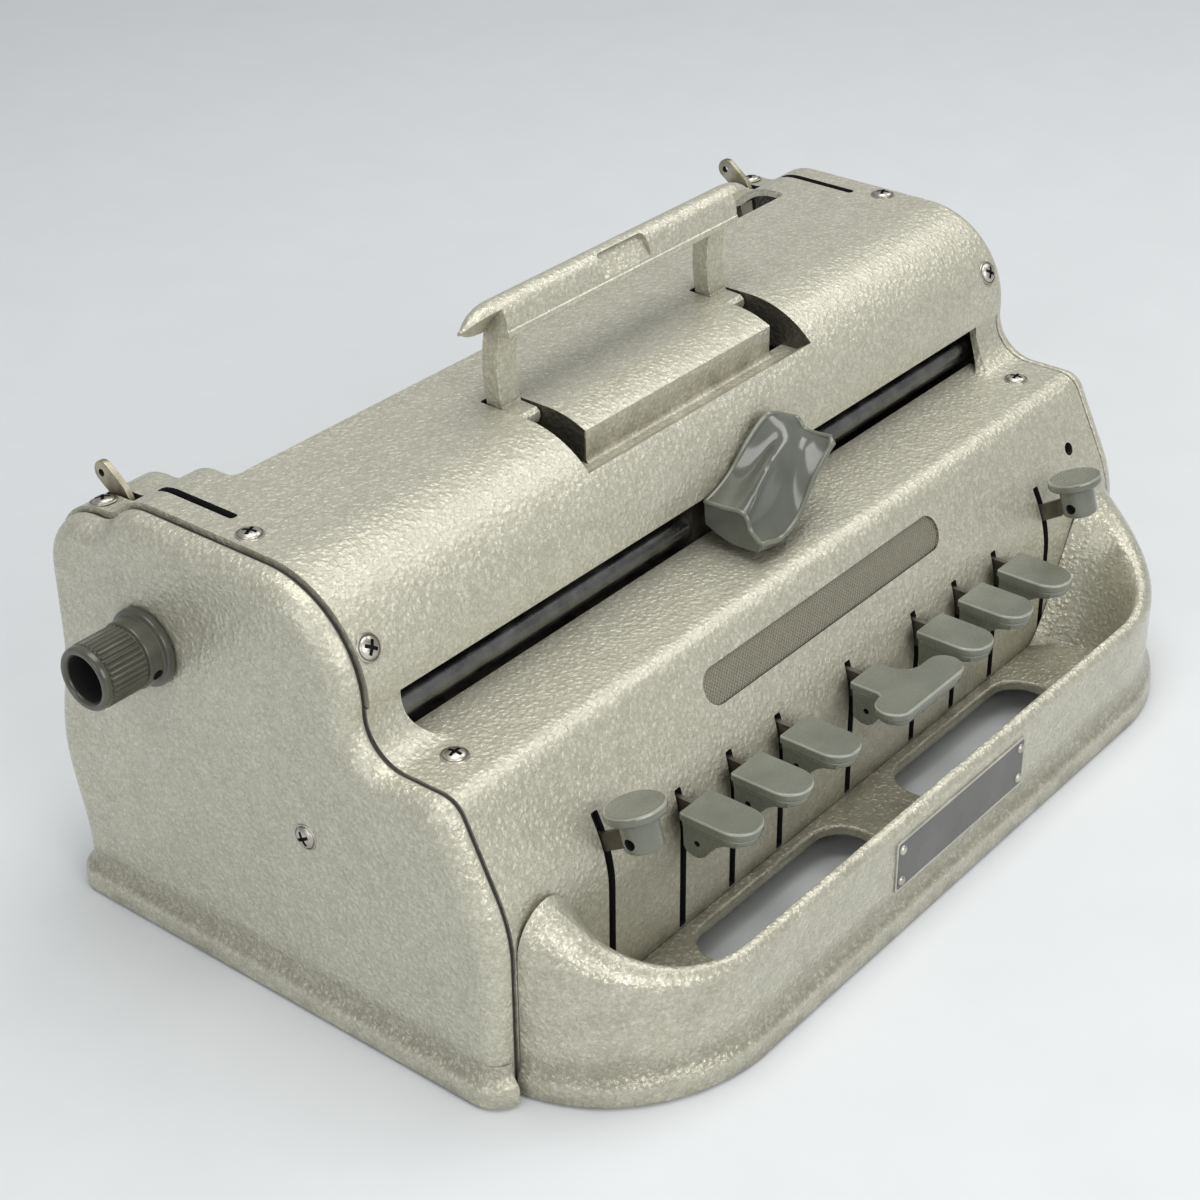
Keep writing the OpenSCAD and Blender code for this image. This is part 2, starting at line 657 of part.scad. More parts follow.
// ---------- carriage ----------

module carriage_block() {
  color(steel) {
    difference() {
      translate([pad_x, rail_yy - 5.4, 90]) cube([pad_w, 19.4, 24]);
      rod(rail_yy, rail_zz, rail_d + 2 * fit, -20, 40);
      rod(guide_y, guide_z, guide_d + 2 * fit, -20, 40);
    }
    translate([stub_x, rail_yy - 5, stub_z]) rotate([90, 0, 0]) cylinder(h = 6.4, d = 4, $fn = 40);
  }
}

module emboss_head() {
  color(nickel) {
    translate([-8, rail_yy + 14, 108]) cube([32, 22 - rail_yy, 16]);
    for (dx = [-1.2, 1.2], dz = [-2.4, 0, 2.4]) translate([8 + dx, 36, 116 + dz]) rotate([-90, 0, 0])
      cylinder(h = 8, d = 1.5, $fn = 24);
    translate([3, 36, 111]) cube([10, 3.5, 10]);
  }
}

// finger pad: lines that run along it, from its left end to its right end, as [y, z]
pad_rear = [[-16.9, 109.4], [-16.9, 113.6], [-16.9, 122.4], [-17, 127.4], [-17.6, 123.8]];
pad_ridge = [[-32, 110], [-31, 117], [-28.5, 120.4], [-26.5, 121.2], [-24.3, 120.2]];
pad_front = [[-39.2, 101.6], [-39, 98.9], [-38.5, 102.8], [-37.8, 114.2], [-37, 120.6]];
pad_scoop = [0, -1.2, -2, -0.5, 1.4];
pad_hollow = [1.3, 1.6, 1.4, 1.2, 0.5];
pad_low_front = [[-38, 98.7], [-37.8, 97], [-37.3, 99.6], [-36.9, 111], [-36.4, 118.2]];
pad_low_mid = [[-27, 98.6], [-27, 98.8], [-27, 104], [-27, 112.4], [-27, 116.2]];
pad_low_rear = [[-17.6, 102], [-17.6, 102.5], [-17.6, 108], [-17.6, 115], [-18, 117.6]];

// a smooth line through values v, at the share s of its length
function flow(v, s) = let (n = len(v) - 1, k = min(floor(s * n), n - 1), t = s * n - k,
  a = v[max(0, k - 1)], b = v[k], c = v[k + 1], d = v[min(n, k + 2)])
  0.5 * (2 * b + (c - a) * t + (2 * a - 5 * b + 4 * c - d) * t * t + (3 * b - a - 3 * c + d) * t * t * t);

function pad_ring(s) = let (r = flow(pad_rear, s), m = flow(pad_ridge, s), f = flow(pad_front, s),
  top = [r, (r + m) / 2 + [0, flow(pad_scoop, s)], m, (m + f) / 2 + flow(pad_hollow, s) * [0.6, -0.8], f],
  low = [flow(pad_low_front, s), flow(pad_low_mid, s), flow(pad_low_rear, s)])
  [for (p = concat([for (i = [0 : 12]) flow(top, i / 12)], [for (i = [0 : 4]) flow(low, i / 4)]))
    [pad_x + pad_w * s, p[0], p[1]]];

module pad_shape() {
  loft([for (i = [16 : -1 : 0]) pad_ring(i / 16)]);
}

module carriage_lever() {
  color(grey_plastic) difference() {
    union() {
      pad_shape();
      translate([-6, -28, 98.8]) cube([32, 12, 7]);
    }
    translate([stub_x, -10, stub_z]) rotate([90, 0, 0]) cylinder(h = 9.2, d = 4 + 2 * fit, $fn = 40);
  }
}

// ---------- keys ----------

module cap_plate(r, y_end, w) {
  translate([-w / 2, y_end]) square([w, -69.5 - y_end]);
  translate([0, y_end]) circle(r = r, $fn = 48);
}

module cap_body(x) {
  difference() {
    translate([x - 6.2, 0, 0]) rotate([90, 0, 90]) linear_extrude(12.4) polygon([[-69.7, key_z - 4],
      [-69.7, key_z - 13.5], [-73, key_z - 15.5], [-77, key_z - 15.5], [-81, key_z - 10], [-85, key_z - 7],
      [-90, key_z - 5.6], [-90, key_z - 4]]);
    translate([x - lever_t / 2 - 0.1, -81, key_z - 20]) cube([lever_t + 0.2, 20, 16.01]);
    translate([x - 10, -75, key_z - 10]) rotate([0, 90, 0]) cylinder(h = 20, d = 2, $fn = 24);
  }
}

module dot_cap(x) {
  color(grey_plastic) {
    translate([x, 0, key_z - 4]) linear_extrude(3.2) cap_plate(key_w / 2, -85.2, key_w);
    translate([x, 0, key_z - 0.9]) linear_extrude(0.9) cap_plate(key_w / 2 - 0.7, -85.2, key_w - 1.4);
    cap_body(x);
  }
}

module space_plate(e) {
  translate([-key_w / 2 + e, -86]) square([key_w - 2 * e, 16.5]);
  round_rect(-16 + e, 25 - e, -94 + e, -81.4 - e, 6.2 - e);
  translate([key_w / 2 - e, -81.4 - e]) difference() {
    square(6);
    translate([6, 6]) circle(r = 6, $fn = 40);
  }
}

module space_cap() {
  color(grey_plastic) {
    translate([0, 0, key_z - 4]) linear_extrude(3.2) space_plate(0);
    translate([0, 0, key_z - 0.9]) linear_extrude(0.9) space_plate(0.7);
    cap_body(0);
  }
}

module round_cap(x) {
  color(grey_plastic) difference() {
    translate([x, round_top[0], round_top[1]]) rotate([-round_tilt, 0, 0]) union() {
      translate([0, 0, -0.8]) cylinder(h = 0.8, d1 = round_d, d2 = round_d - 1.4, $fn = 64);
      translate([0, 0, -3.4]) cylinder(h = 2.65, d = round_d, $fn = 64);
      translate([0, 0, -13.6]) cylinder(h = 10.3, d = hub_d, $fn = 64);
    }
    translate([x - lever_t / 2 - 0.1, arm_end - 0.1, arm_top - 14]) cube([lever_t + 0.2, 20, 14.1]);
    rod(round_screw[0], round_screw[1], 3.2, x - 20, x + 20);
  }
}

module bar_lever(x, outline_pts) {
  color(steel) difference() {
    along_x(x - lever_t / 2, x + lever_t / 2) union() {
      polygon(outline_pts);
      translate([pivot_y, pivot_z]) circle(d = 18, $fn = 48);
    }
    rod(pivot_y, pivot_z, pivot_d + 2 * fit, x - 3, x + 3);
  }
}

module dot_lever(x) {
  bar_lever(x, [[22, 49], [-38, key_z - 1], [-69, key_z - 1], [-69, key_z - 4.3], [-80.4, key_z - 4.3],
    [-80.4, key_z - 10], [-40, key_z - 11], [22, 31]]);
}

module round_lever(x) {
  bar_lever(x, [[22, 49], [-52, 61.5], [-62, 65.2], [-70, 70.6], [-73.6, arm_top], [arm_end, arm_top],
    [arm_end, 69.2], [-72.4, 67], [-71, 64.3], [-63.5, 59.6], [-50, 54.5], [22, 31]]);
}

module dot1_cap() {
  dot_cap(-kx[0]);
}

module dot2_cap() {
  dot_cap(-kx[1]);
}

module dot3_cap() {
  dot_cap(-kx[2]);
}

module dot4_cap() {
  dot_cap(kx[0]);
}

module dot5_cap() {
  dot_cap(kx[1]);
}

module dot6_cap() {
  dot_cap(kx[2]);
}

module line_space_cap() {
  round_cap(-round_x);
}

module backspace_cap() {
  round_cap(round_x);
}

module dot1_lever() {
  dot_lever(-kx[0]);
}

module dot2_lever() {
  dot_lever(-kx[1]);
}

module dot3_lever() {
  dot_lever(-kx[2]);
}

module dot4_lever() {
  dot_lever(kx[0]);
}

module dot5_lever() {
  dot_lever(kx[1]);
}

module dot6_lever() {
  dot_lever(kx[2]);
}

module space_lever() {
  dot_lever(0);
}

module line_space_lever() {
  round_lever(-round_x);
}

module backspace_lever() {
  round_lever(round_x);
}

// ---------- margin stops, bell, mainspring ----------

module stop_block(x) {
  color(steel) difference() {
    union() {
      translate([x - 5, bar_y - 4.4, bar_z - 4.4]) cube([10, 8.8, 8.8]);
      translate([x - 2, bar_y - 2, bar_z + 4]) cube([4, 4, 4.5]);
    }
    rod(bar_y, bar_z, bar_d + 2 * fit, x - 10, x + 10);
  }
}

module left_margin_stop() {
  stop_block(43 - hw);
}

module right_margin_stop() {
  stop_block(hw - 43);
}

module bell_hammer() {
  color(steel) difference() {
    union() {
      translate([86, 66, 12]) cylinder(h = 39.5, d = 3, $fn = 32);
      rod(66, 50, 3, 86, 91.5);
      translate([90.5, 66, 50]) sphere(d = 5, $fn = 32);
      translate([86, 63.2, 10]) rotate([-90, 0, 0]) cylinder(h = 5.6, d = 7.4, $fn = 32);
    }
    translate([86, 60, 10]) rotate([-90, 0, 0]) cylinder(h = 12, d = 3 + 2 * fit, $fn = 32);
  }
}

module spring_drum() {
  color(steel) difference() {
    union() {
      rod(drum_y, drum_z, 44, -frame_x + 7, -frame_x + 8);
      rod(drum_y, drum_z, 40, -frame_x + 8, -frame_x + 17);
      rod(drum_y, drum_z, 44, -frame_x + 17, -frame_x + 18);
    }
    rod(drum_y, drum_z, drum_pin + 2 * fit, -frame_x + 2, -frame_x + 27);
  }
}

palm_rail();
bottom_plate();
rubber_feet();
left_side_frame();
right_side_frame();
left_end_cover();
right_end_cover();
seam_gaskets();
top_cover();
front_cover();
rear_cover();
paper_table();
cover_screws();
label_plate();
label_pins();
carriage_rail();
guide_rod();
escapement_rack();
key_pivot_rod();
key_stop_bar();
return_springs();
bell_gong();
margin_bar();
handle_pins();
pivot_pins();
shaft_bushings();
carry_handle();
carriage_block();
emboss_head();
carriage_lever();
feed_roller();
feed_shaft();
left_knob();
right_knob();
ratchet_wheel();
pressure_rollers();
left_release_lever();
right_release_lever();
dot1_cap();
dot2_cap();
dot3_cap();
dot4_cap();
dot5_cap();
dot6_cap();
space_cap();
line_space_cap();
backspace_cap();
dot1_lever();
dot2_lever();
dot3_lever();
dot4_lever();
dot5_lever();
dot6_lever();
space_lever();
line_space_lever();
backspace_lever();
left_margin_stop();
right_margin_stop();
bell_hammer();
spring_drum();
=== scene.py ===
import json
from math import asin, cos, degrees, pi, radians, sin, sqrt, tan

import bmesh
import bpy
from mathutils import Matrix, Vector


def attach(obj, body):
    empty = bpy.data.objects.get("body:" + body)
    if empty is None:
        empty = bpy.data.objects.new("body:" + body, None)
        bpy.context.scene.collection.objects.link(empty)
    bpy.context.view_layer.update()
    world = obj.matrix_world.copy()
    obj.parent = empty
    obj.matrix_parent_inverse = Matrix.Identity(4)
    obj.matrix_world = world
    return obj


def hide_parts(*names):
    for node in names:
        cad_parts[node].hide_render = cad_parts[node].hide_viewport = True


# Looks of the manual braille writer: enamelled casing, palm rail, keys, carriage lever, knobs and handle.
# X runs to the typist's right, Y to the rear, Z up. Sizes below are in millimetres, meshes in metres.

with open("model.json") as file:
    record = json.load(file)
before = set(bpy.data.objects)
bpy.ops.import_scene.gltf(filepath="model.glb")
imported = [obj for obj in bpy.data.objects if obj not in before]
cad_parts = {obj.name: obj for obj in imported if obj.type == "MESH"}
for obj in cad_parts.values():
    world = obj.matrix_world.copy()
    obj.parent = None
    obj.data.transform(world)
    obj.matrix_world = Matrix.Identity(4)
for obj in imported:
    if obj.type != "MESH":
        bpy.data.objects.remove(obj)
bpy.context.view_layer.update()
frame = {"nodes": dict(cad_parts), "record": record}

# ---------- camera ----------

eye = Vector((-0.5569, -0.4169, 0.4774))
aim = Vector((0.01202, 0.04629, 0.03857))
lens_data = bpy.data.cameras.new("photo_camera")
lens_data.lens = 73.97
lens_data.sensor_width = 36
lens_data.sensor_fit = "HORIZONTAL"
lens_data.clip_start = 0.01
camera = bpy.data.objects.new("photo_camera", lens_data)
bpy.context.collection.objects.link(camera)
ahead = (aim - eye).normalized()
sideways = ahead.cross(Vector((0, 0, 1))).normalized()
upwards = sideways.cross(ahead)
camera.matrix_world = (
    Matrix.Translation(eye)
    @ Matrix((sideways, upwards, -ahead)).transposed().to_4x4()
    @ Matrix.Rotation(radians(-0.61), 4, "Z")
)
bpy.context.scene.camera = camera

# ---------- casing sizes ----------

seam_x = 165
cover_x = 163.95
end_depth = 7.5
face_x = seam_x + end_depth
sheet_t = 2.5
base_z = 0.8
toe = 3
front_y = -65.8
rear_y = 107
bulge = 5.8
slope_a = 63.7
big_r = 47
big_z = 47
bend_r = 9
neck_r = 14
nose_r = 33
nose_y = 18
nose_z = 111
shelf_z = 94.3
top_z = 144
step_r = 17
step_y = 66
dip_r = 12
hump_r = 19
hump_y = 88
lip = 1.3
cover_low = 110.2
ledge_z = 130.9
rail_y = 108
rail_turn_x = 58
rail_turn_y = -53
rim_z = 38.5
horn_z = 61.7
floor_z = 12.5
opening_x = (14, 94)
opening_y = (-96, -70)
label_x = 37.5
label_z = (14.5, 33)
name_x = 64
name_z = 79.5
key_z = 61
key_rear = -69.5
cap_half = 7.6
cap_screw_y = -75
dot_x = (38, 63, 88)
round_x = 121.5
round_tilt = 17
round_top = (-73.7, 80.2)
round_screw = (-76.6, 70.8)
round_slot_top = 71.2
shaft_y = 63.5
shaft_z = 104.4
tip_x = 197
leg_x = 48
leg_w = 9
hinge_y = 29.5
hinge_z = 139.5
grip_y = 30
grip_z = 174.5
ledge_rise = 3.6
slot_x = seam_x - 14.5
release_x = seam_x - 11.7
release_y = 86
release_z = 118
join_gap = 0.7

slope_y = front_y + big_r - big_r * cos(radians(90 - slope_a))
slope_z = big_z + big_r * sin(radians(90 - slope_a))
bend_z = shelf_z - bend_r
bend_y = (
    slope_y
    + (shelf_z - bend_r * (1 - sin(radians(90 - slope_a))) - slope_z) / tan(radians(slope_a))
    + bend_r * cos(radians(90 - slope_a))
)
neck_y = nose_y - nose_r - neck_r + 0.0413
step_z = top_z - step_r
dip_y = step_y + (step_r + dip_r) * cos(radians(45))
dip_z = step_z + (step_r + dip_r) * sin(radians(45))
hump_z = dip_z - dip_r - hump_r


def placed(name, data):
    made = bpy.data.objects.new(name, data)
    bpy.context.collection.objects.link(made)
    return made


def at(x, y, z):
    """A place given in millimetres, as Blender's metres."""
    return Vector((x, y, z)) * 0.001


def arc(y, z, radius, start, end, steps):
    return [
        (y + radius * cos(radians(start + (end - start) * i / steps)),
         z + radius * sin(radians(start + (end - start) * i / steps)))
        for i in range(steps + 1)
    ]


# ---------- side view of the casing, as (y, z), taken in by d ----------

def front_path(d):
    return (arc(front_y + big_r, big_z, big_r - d, 180, 90 + slope_a, 14)
            + arc(bend_y, bend_z, bend_r - d, 90 + slope_a, 90, 12))


def neck_path(d):
    return arc(neck_y, shelf_z + neck_r, neck_r + d, -90, 0, 14)


def nose_path(d):
    return arc(nose_y, nose_z, nose_r - d, 180, 90, 36)


def step_path(d):
    return arc(step_y, step_z, step_r - d, 90, 45, 10) + arc(dip_y, dip_z, dip_r + d, 236.25, 270, 8)


def hump_path(d):
    return arc(hump_y, hump_z, hump_r - d, 90, 0, 20)


def rear_path(d):
    return [(rear_y - d + bulge * sin(radians(9 * i)) ** 2, 92 - 3.9 * i) for i in range(21)]


def outline(d):
    return ([(front_y + d, base_z)] + front_path(d) + neck_path(d) + nose_path(d)
            + step_path(d) + hump_path(d) + rear_path(d) + [(rear_y - d, base_z)])


def cover_end(d):
    return ([(nose_y - nose_r + d, cover_low)] + nose_path(d) + step_path(d)
            + hump_path(d) + [(rear_y - d, 93.6)])


def rounded(x0, x1, y0, y1, r, steps=6):
    """A rectangle with round corners, as points in its own plane."""
    return (arc(x1 - r, y0 + r, r, -90, 0, steps) + arc(x1 - r, y1 - r, r, 0, 90, steps)
            + arc(x0 + r, y1 - r, r, 90, 180, steps) + arc(x0 + r, y0 + r, r, 180, 270, steps))


# ---------- shaping ----------

def push(bm, points, travel):
    """A flat outline drawn out along travel into a solid."""
    rim = [bm.verts.new(point) for point in points]
    grown = bmesh.ops.extrude_face_region(bm, geom=[bm.faces.new(rim)])["geom"]
    far = [part for part in grown if isinstance(part, bmesh.types.BMVert)]
    bmesh.ops.translate(bm, vec=travel, verts=far)
    return rim + far


def span(bm, x0, x1, shape):
    """An outline seen from the side, as (y, z), drawn out from x0 to x1."""
    return push(bm, [at(x0, y, z) for y, z in shape], at(x1 - x0, 0, 0))


def mirrored(side, x0, x1):
    return sorted((side * x0, side * x1))


def hand(side):
    return "left" if side < 0 else "right"


def lay(bm, across, along, place):
    """A grid of cells whose corners go where place(i, j) says."""
    corners = bmesh.ops.create_grid(bm, x_segments=across, y_segments=along, size=1.0)["verts"]
    for corner in corners:
        i = round((corner.co.x + 1) * across / 2)
        j = round((corner.co.y + 1) * along / 2)
        corner.co = place(i, j)
    return corners


def turn(bm, profile, centre, axis, steps=64):
    """A profile of (radius, distance along the axis) turned once round it."""
    axis = Vector(axis).normalized()
    aside = axis.orthogonal().normalized()
    rim = [bm.verts.new(centre + aside * r * 0.001 + axis * h * 0.001) for r, h in profile]
    edges = [bm.edges.new(pair) for pair in zip(rim, rim[1:])]
    bmesh.ops.spin(bm, geom=rim + edges, cent=centre, axis=axis, angle=2 * pi, steps=steps,
                   use_merge=True, use_duplicate=False)
    bmesh.ops.remove_doubles(bm, verts=bm.verts, dist=2e-6)


def bead(bm, path, radius, sides=8):
    """A thin round bead along a closed path."""
    count = len(path)

    def place(i, j):
        along = (path[(i + 1) % count] - path[i - 1]).normalized()
        side = along.cross(Vector((0, 0, 1))).normalized()
        over = side.cross(along)
        angle = 2 * pi * j / sides
        return path[i % count] + (side * cos(angle) + over * sin(angle)) * radius * 0.001

    lay(bm, count, sides, place)


def close_up(bm):
    bmesh.ops.remove_doubles(bm, verts=bm.verts, dist=2e-6)
    rims = [edge for edge in bm.edges if edge.is_boundary]
    if rims:
        bmesh.ops.holes_fill(bm, edges=rims, sides=0)
    bmesh.ops.recalc_face_normals(bm, faces=bm.faces)


def soften(bm, width, steps=2, sharper=35, where=None):
    """Rounds the sharp edges, or those of them that where picks."""
    bmesh.ops.remove_doubles(bm, verts=bm.verts, dist=2e-6)
    bmesh.ops.recalc_face_normals(bm, faces=bm.faces)
    picked = [edge for edge in bm.edges
              if edge.calc_face_angle(0) > radians(sharper) and (where is None or where(edge))]
    bmesh.ops.bevel(bm, geom=picked, offset=width * 0.001, offset_type="OFFSET", segments=steps,
                    profile=0.5, affect="EDGES", clamp_overlap=True, material=-1)


def solid(name, bm, *finishes):
    """A mesh object from bm, not dressed yet."""
    close_up(bm)
    mesh = bpy.data.meshes.new(name)
    bm.to_mesh(mesh)
    bm.free()
    for finish in finishes:
        mesh.materials.append(finish)
    return placed(name, mesh)


def carve(shape, *cutters):
    """Cuts the cutters out of a shape and throws them away."""
    for cutter in cutters:
        cut = shape.modifiers.new("cut", "BOOLEAN")
        cut.operation = "DIFFERENCE"
        cut.solver = "EXACT"
        cut.material_mode = "TRANSFER"
        cut.object = cutter
    graph = bpy.context.evaluated_depsgraph_get()
    shape_now = bpy.data.meshes.new_from_object(shape.evaluated_get(graph))
    shape.modifiers.clear()
    shape.data = shape_now
    for cutter in cutters:
        bpy.data.objects.remove(cutter)
    return shape


def blacken_inside(shape):
    """Gives the faces that look into the casing a near-black of painted shade."""
    finishes = shape.data.materials
    if finishes.find(INSIDE_SHADE.name) < 0:
        finishes.append(INSIDE_SHADE)
    black = finishes.find(INSIDE_SHADE.name)
    for face in shape.data.polygons:
        inward = Vector((0, 0.02 - face.center.y, 0.06 - face.center.z))
        if abs(face.normal.x) < 0.5 and face.normal.dot(inward) > 0:
            face.material_index = black


def dress(shape, body, slot, *nodes, edge=0.0, sharp=32):
    """Shades a finished shape, rounds its edges and ties it to its body, and hides the CAD nodes it stands
    for.
    """
    shape.data.shade_smooth()
    shape.data.set_sharp_from_angle(angle=radians(sharp))
    if edge:
        rounding = shape.modifiers.new("rounded_edges", "BEVEL")
        rounding.width = edge * 0.001
        rounding.segments = 2
        rounding.limit_method = "ANGLE"
        rounding.angle_limit = radians(40)
        rounding.use_clamp_overlap = False
        rounding.miter_outer = "MITER_ARC"
    even = shape.modifiers.new("even_shading", "WEIGHTED_NORMAL")
    even.keep_sharp = True
    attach(shape, body)
    if nodes:
        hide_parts(*nodes)
    return shape


def rod_cutter(y, z, d, x0, x1):
    """A drill along x that leaves a hole painted black as shade."""
    bm = bmesh.new()
    turn(bm, [(0, 0), (d / 2, 0), (d / 2, x1 - x0), (0, x1 - x0)], at(x0, y, z), (1, 0, 0), 32)
    return solid("cutter", bm, INSIDE_SHADE)


def box_cutter(x0, x1, y0, y1, z0, z1, r=0.0, finish=None):
    bm = bmesh.new()
    if r:
        plan = rounded(x0, x1, y0, y1, r)
    else:
        plan = [(x0, y0), (x1, y0), (x1, y1), (x0, y1)]
    push(bm, [at(x, y, z0) for x, y in plan], at(0, 0, z1 - z0))
    return solid("cutter", bm, *([finish] if finish else []))


# ---------- finishes ----------

def add(tree, kind, links=None, **settings):
    made = tree.nodes.new("ShaderNode" + kind)
    for key, value in settings.items():
        setattr(made, key, value)
    for socket, source in (links or {}).items():
        if isinstance(source, bpy.types.NodeSocket):
            tree.links.new(source, made.inputs[socket])
        else:
            made.inputs[socket].default_value = source
    return made


def new_group(name, inputs, outputs):
    tree = bpy.data.node_groups.new(name, "ShaderNodeTree")
    for label, kind, value in inputs:
        socket = tree.interface.new_socket(label, in_out="INPUT", socket_type="NodeSocket" + kind)
        socket.default_value = value
    for label, kind in outputs:
        tree.interface.new_socket(label, in_out="OUTPUT", socket_type="NodeSocket" + kind)
    return tree, tree.nodes.new("NodeGroupInput").outputs, tree.nodes.new("NodeGroupOutput").inputs


def scale_to(tree, value, low, high, to_low=0.0, to_high=1.0, smooth=False):
    made = add(tree, "MapRange", {"Value": value, "From Min": low, "From Max": high, "To Min": to_low,
                                  "To Max": to_high}, interpolation_type="SMOOTHSTEP" if smooth else "LINEAR")
    return made.outputs["Result"]


def maths(tree, operation, first, second=0.0):
    return add(tree, "Math", {0: first, 1: second}, operation=operation).outputs[0]


def times(tree, first, second):
    return maths(tree, "MULTIPLY", first, second)


def plus(tree, first, second):
    return maths(tree, "ADD", first, second)


def blend(tree, factor, *tones):
    """Mixes two tones, each the output of a node or a colour."""
    first, second = ((*tone, 1) if isinstance(tone, tuple) else tone for tone in tones)
    return add(tree, "Mix", {0: factor, 6: first, 7: second}, data_type="RGBA").outputs[2]


def here(tree):
    return add(tree, "TexCoord").outputs["Object"]


def noise(tree, place, scale, detail, roughness=0.5):
    made = add(tree, "TexNoise", {"Vector": place, "Scale": scale, "Detail": detail, "Roughness": roughness})
    return made.outputs["Fac"]


def build_hammer():
    """Hammered enamel: low domes a few millimetres across with a fine grain over them."""
    tree, given, result = new_group(
        "hammer_skin",
        [("Cell Scale", "Float", 540.0), ("Wrinkle Scale", "Float", 1500.0), ("Wrinkle Share", "Float", 0.5)],
        [("Height", "Float"), ("Tone", "Float")])
    place = here(tree)
    warp = add(tree, "TexNoise", {"Vector": place, "Scale": 600.0, "Detail": 2.0})
    bent = add(tree, "VectorMath", {0: warp.outputs["Color"], 1: (0.0018,) * 3}, operation="MULTIPLY")
    moved = add(tree, "VectorMath", {0: place, 1: bent.outputs[0]}, operation="ADD").outputs[0]
    cells = add(tree, "TexVoronoi", {"Vector": moved, "Scale": given["Cell Scale"], "Smoothness": 0.35},
                feature="SMOOTH_F1")
    wrinkle = noise(tree, moved, given["Wrinkle Scale"], 3.0, 0.6)
    broad = noise(tree, place, 160.0, 2.0)
    dome = scale_to(tree, cells.outputs["Distance"], 0.62, 0.0)
    part = times(tree, wrinkle, given["Wrinkle Share"])
    height = plus(tree, dome, part)
    height = plus(tree, height, broad)
    speckle = scale_to(tree, wrinkle, 0.33, 0.67)
    tone = plus(tree, times(tree, dome, 0.35), times(tree, speckle, 0.5))
    tone = plus(tree, tone, times(tree, broad, 0.35))
    tree.links.new(height, result["Height"])
    tree.links.new(scale_to(tree, tone, 0.2, 1.0), result["Tone"])
    return tree


def build_grime_and_shade():
    """Dirt and painted shade in corners, under lips and beside seams, where little open sky reaches."""
    tree, given, result = new_group(
        "corner_grime_and_shade", [("Reach", "Float", 0.012), ("Noise Scale", "Float", 90.0)], [("Mask", "Float")])
    place = here(tree)
    open_sky = add(tree, "AmbientOcclusion", {"Distance": given["Reach"]}, samples=6)
    hidden = scale_to(tree, open_sky.outputs["AO"], 0.92, 0.35, smooth=True)
    rough = noise(tree, place, given["Noise Scale"], 6.0, 0.65)
    broken = scale_to(tree, rough, 0.34, 0.62)
    tree.links.new(times(tree, hidden, broken), result["Mask"])
    return tree


def build_dust():
    """Fine dust on faces that look up."""
    tree, given, result = new_group(
        "settled_dust", [("Noise Scale", "Float", 60.0)], [("Mask", "Float")])
    place = here(tree)
    facing = add(tree, "SeparateXYZ", {"Vector": add(tree, "NewGeometry").outputs["Normal"]}).outputs["Z"]
    flat = scale_to(tree, facing, 0.3, 1.0)
    rough = noise(tree, place, given["Noise Scale"], 5.0)
    broken = scale_to(tree, rough, 0.4, 0.65)
    tree.links.new(times(tree, flat, broken), result["Mask"])
    return tree


def build_scratches():
    """Long fine scratches and polishing lines."""
    tree, given, result = new_group(
        "fine_scratches", [("Along", "Vector", (60.0, 900.0, 900.0)), ("Amount", "Float", 0.5)],
        [("Mask", "Float")])
    place = here(tree)
    drawn = add(tree, "VectorMath", {0: place, 1: given["Along"]}, operation="MULTIPLY")
    lines = noise(tree, drawn.outputs[0], 3.0, 5.0, 0.7)
    sharp = scale_to(tree, lines, 0.45, 0.7)
    tree.links.new(times(tree, sharp, given["Amount"]), result["Mask"])
    return tree


HAMMER = build_hammer()
GRIME_AND_SHADE = build_grime_and_shade()
DUST = build_dust()
SCRATCHES = build_scratches()


def use(tree, group, **values):
    made = tree.nodes.new("ShaderNodeGroup")
    made.node_tree = group
    for key, value in values.items():
        made.inputs[key.replace("_", " ")].default_value = value
    return made.outputs


def new_finish(name, metallic=0.0, coat=0.0, coat_roughness=0.1):
    finish = bpy.data.materials.new(name)
    finish.use_nodes = True
    tree = finish.node_tree
    shader = tree.nodes["Principled BSDF"]
    shader.inputs["Metallic"].default_value = metallic
    shader.inputs["Coat Weight"].default_value = coat
    shader.inputs["Coat Roughness"].default_value = coat_roughness
    return finish, tree


def finished(finish, tone, gloss, height, distance, strength):
    """Joins a finish's tone, roughness and relief to its shader."""
    tree = finish.node_tree
    bump = add(tree, "Bump", {"Height": height, "Distance": distance, "Strength": strength})
    inputs = tree.nodes["Principled BSDF"].inputs
    for label, source in (("Base Color", tone), ("Roughness", gloss), ("Normal", bump.outputs["Normal"])):
        tree.links.new(source, inputs[label])
    return finish


def cove_shade_and_dirt(tree, tone, skin_tone):
    """A darker, broken band in the hollow above the foot of the casing: painted shade and dirt."""
    height_up = add(tree, "SeparateXYZ", {0: here(tree)}).outputs["Z"]
    above = scale_to(tree, height_up, (base_z + 18) / 1000, (base_z + 10) / 1000, smooth=True)
    below = scale_to(tree, height_up, (base_z + 5.5) / 1000, (base_z + 8) / 1000, smooth=True)
    band = times(tree, above, below)
    band = times(tree, band, scale_to(tree, skin_tone, 0.9, 0.2, 0.2, 0.55))
    return blend(tree, band, tone, (0.19, 0.18, 0.125))


def stained(tree, tone, share):
    """Brown blots left by hands."""
    place = here(tree)
    blots = noise(tree, place, 55.0, 7.0, 0.7)
    return blend(tree, scale_to(tree, blots, 0.5, 0.72, 0.0, share), tone, (0.13, 0.1, 0.06))


def hatching(tree):
    """Two sets of fine lines that cross, as on the ground of the name recess."""
    place = here(tree)
    lines = []
    for lean in (1.0, -1.0):
        along = add(tree, "VectorMath", {0: place, 1: (4300.0, 0.0, 4800.0 * lean)}, operation="DOT_PRODUCT")
        lines.append(maths(tree, "SINE", along.outputs["Value"]))
    return scale_to(tree, maths(tree, "MAXIMUM", *lines), -0.6, 1.0)


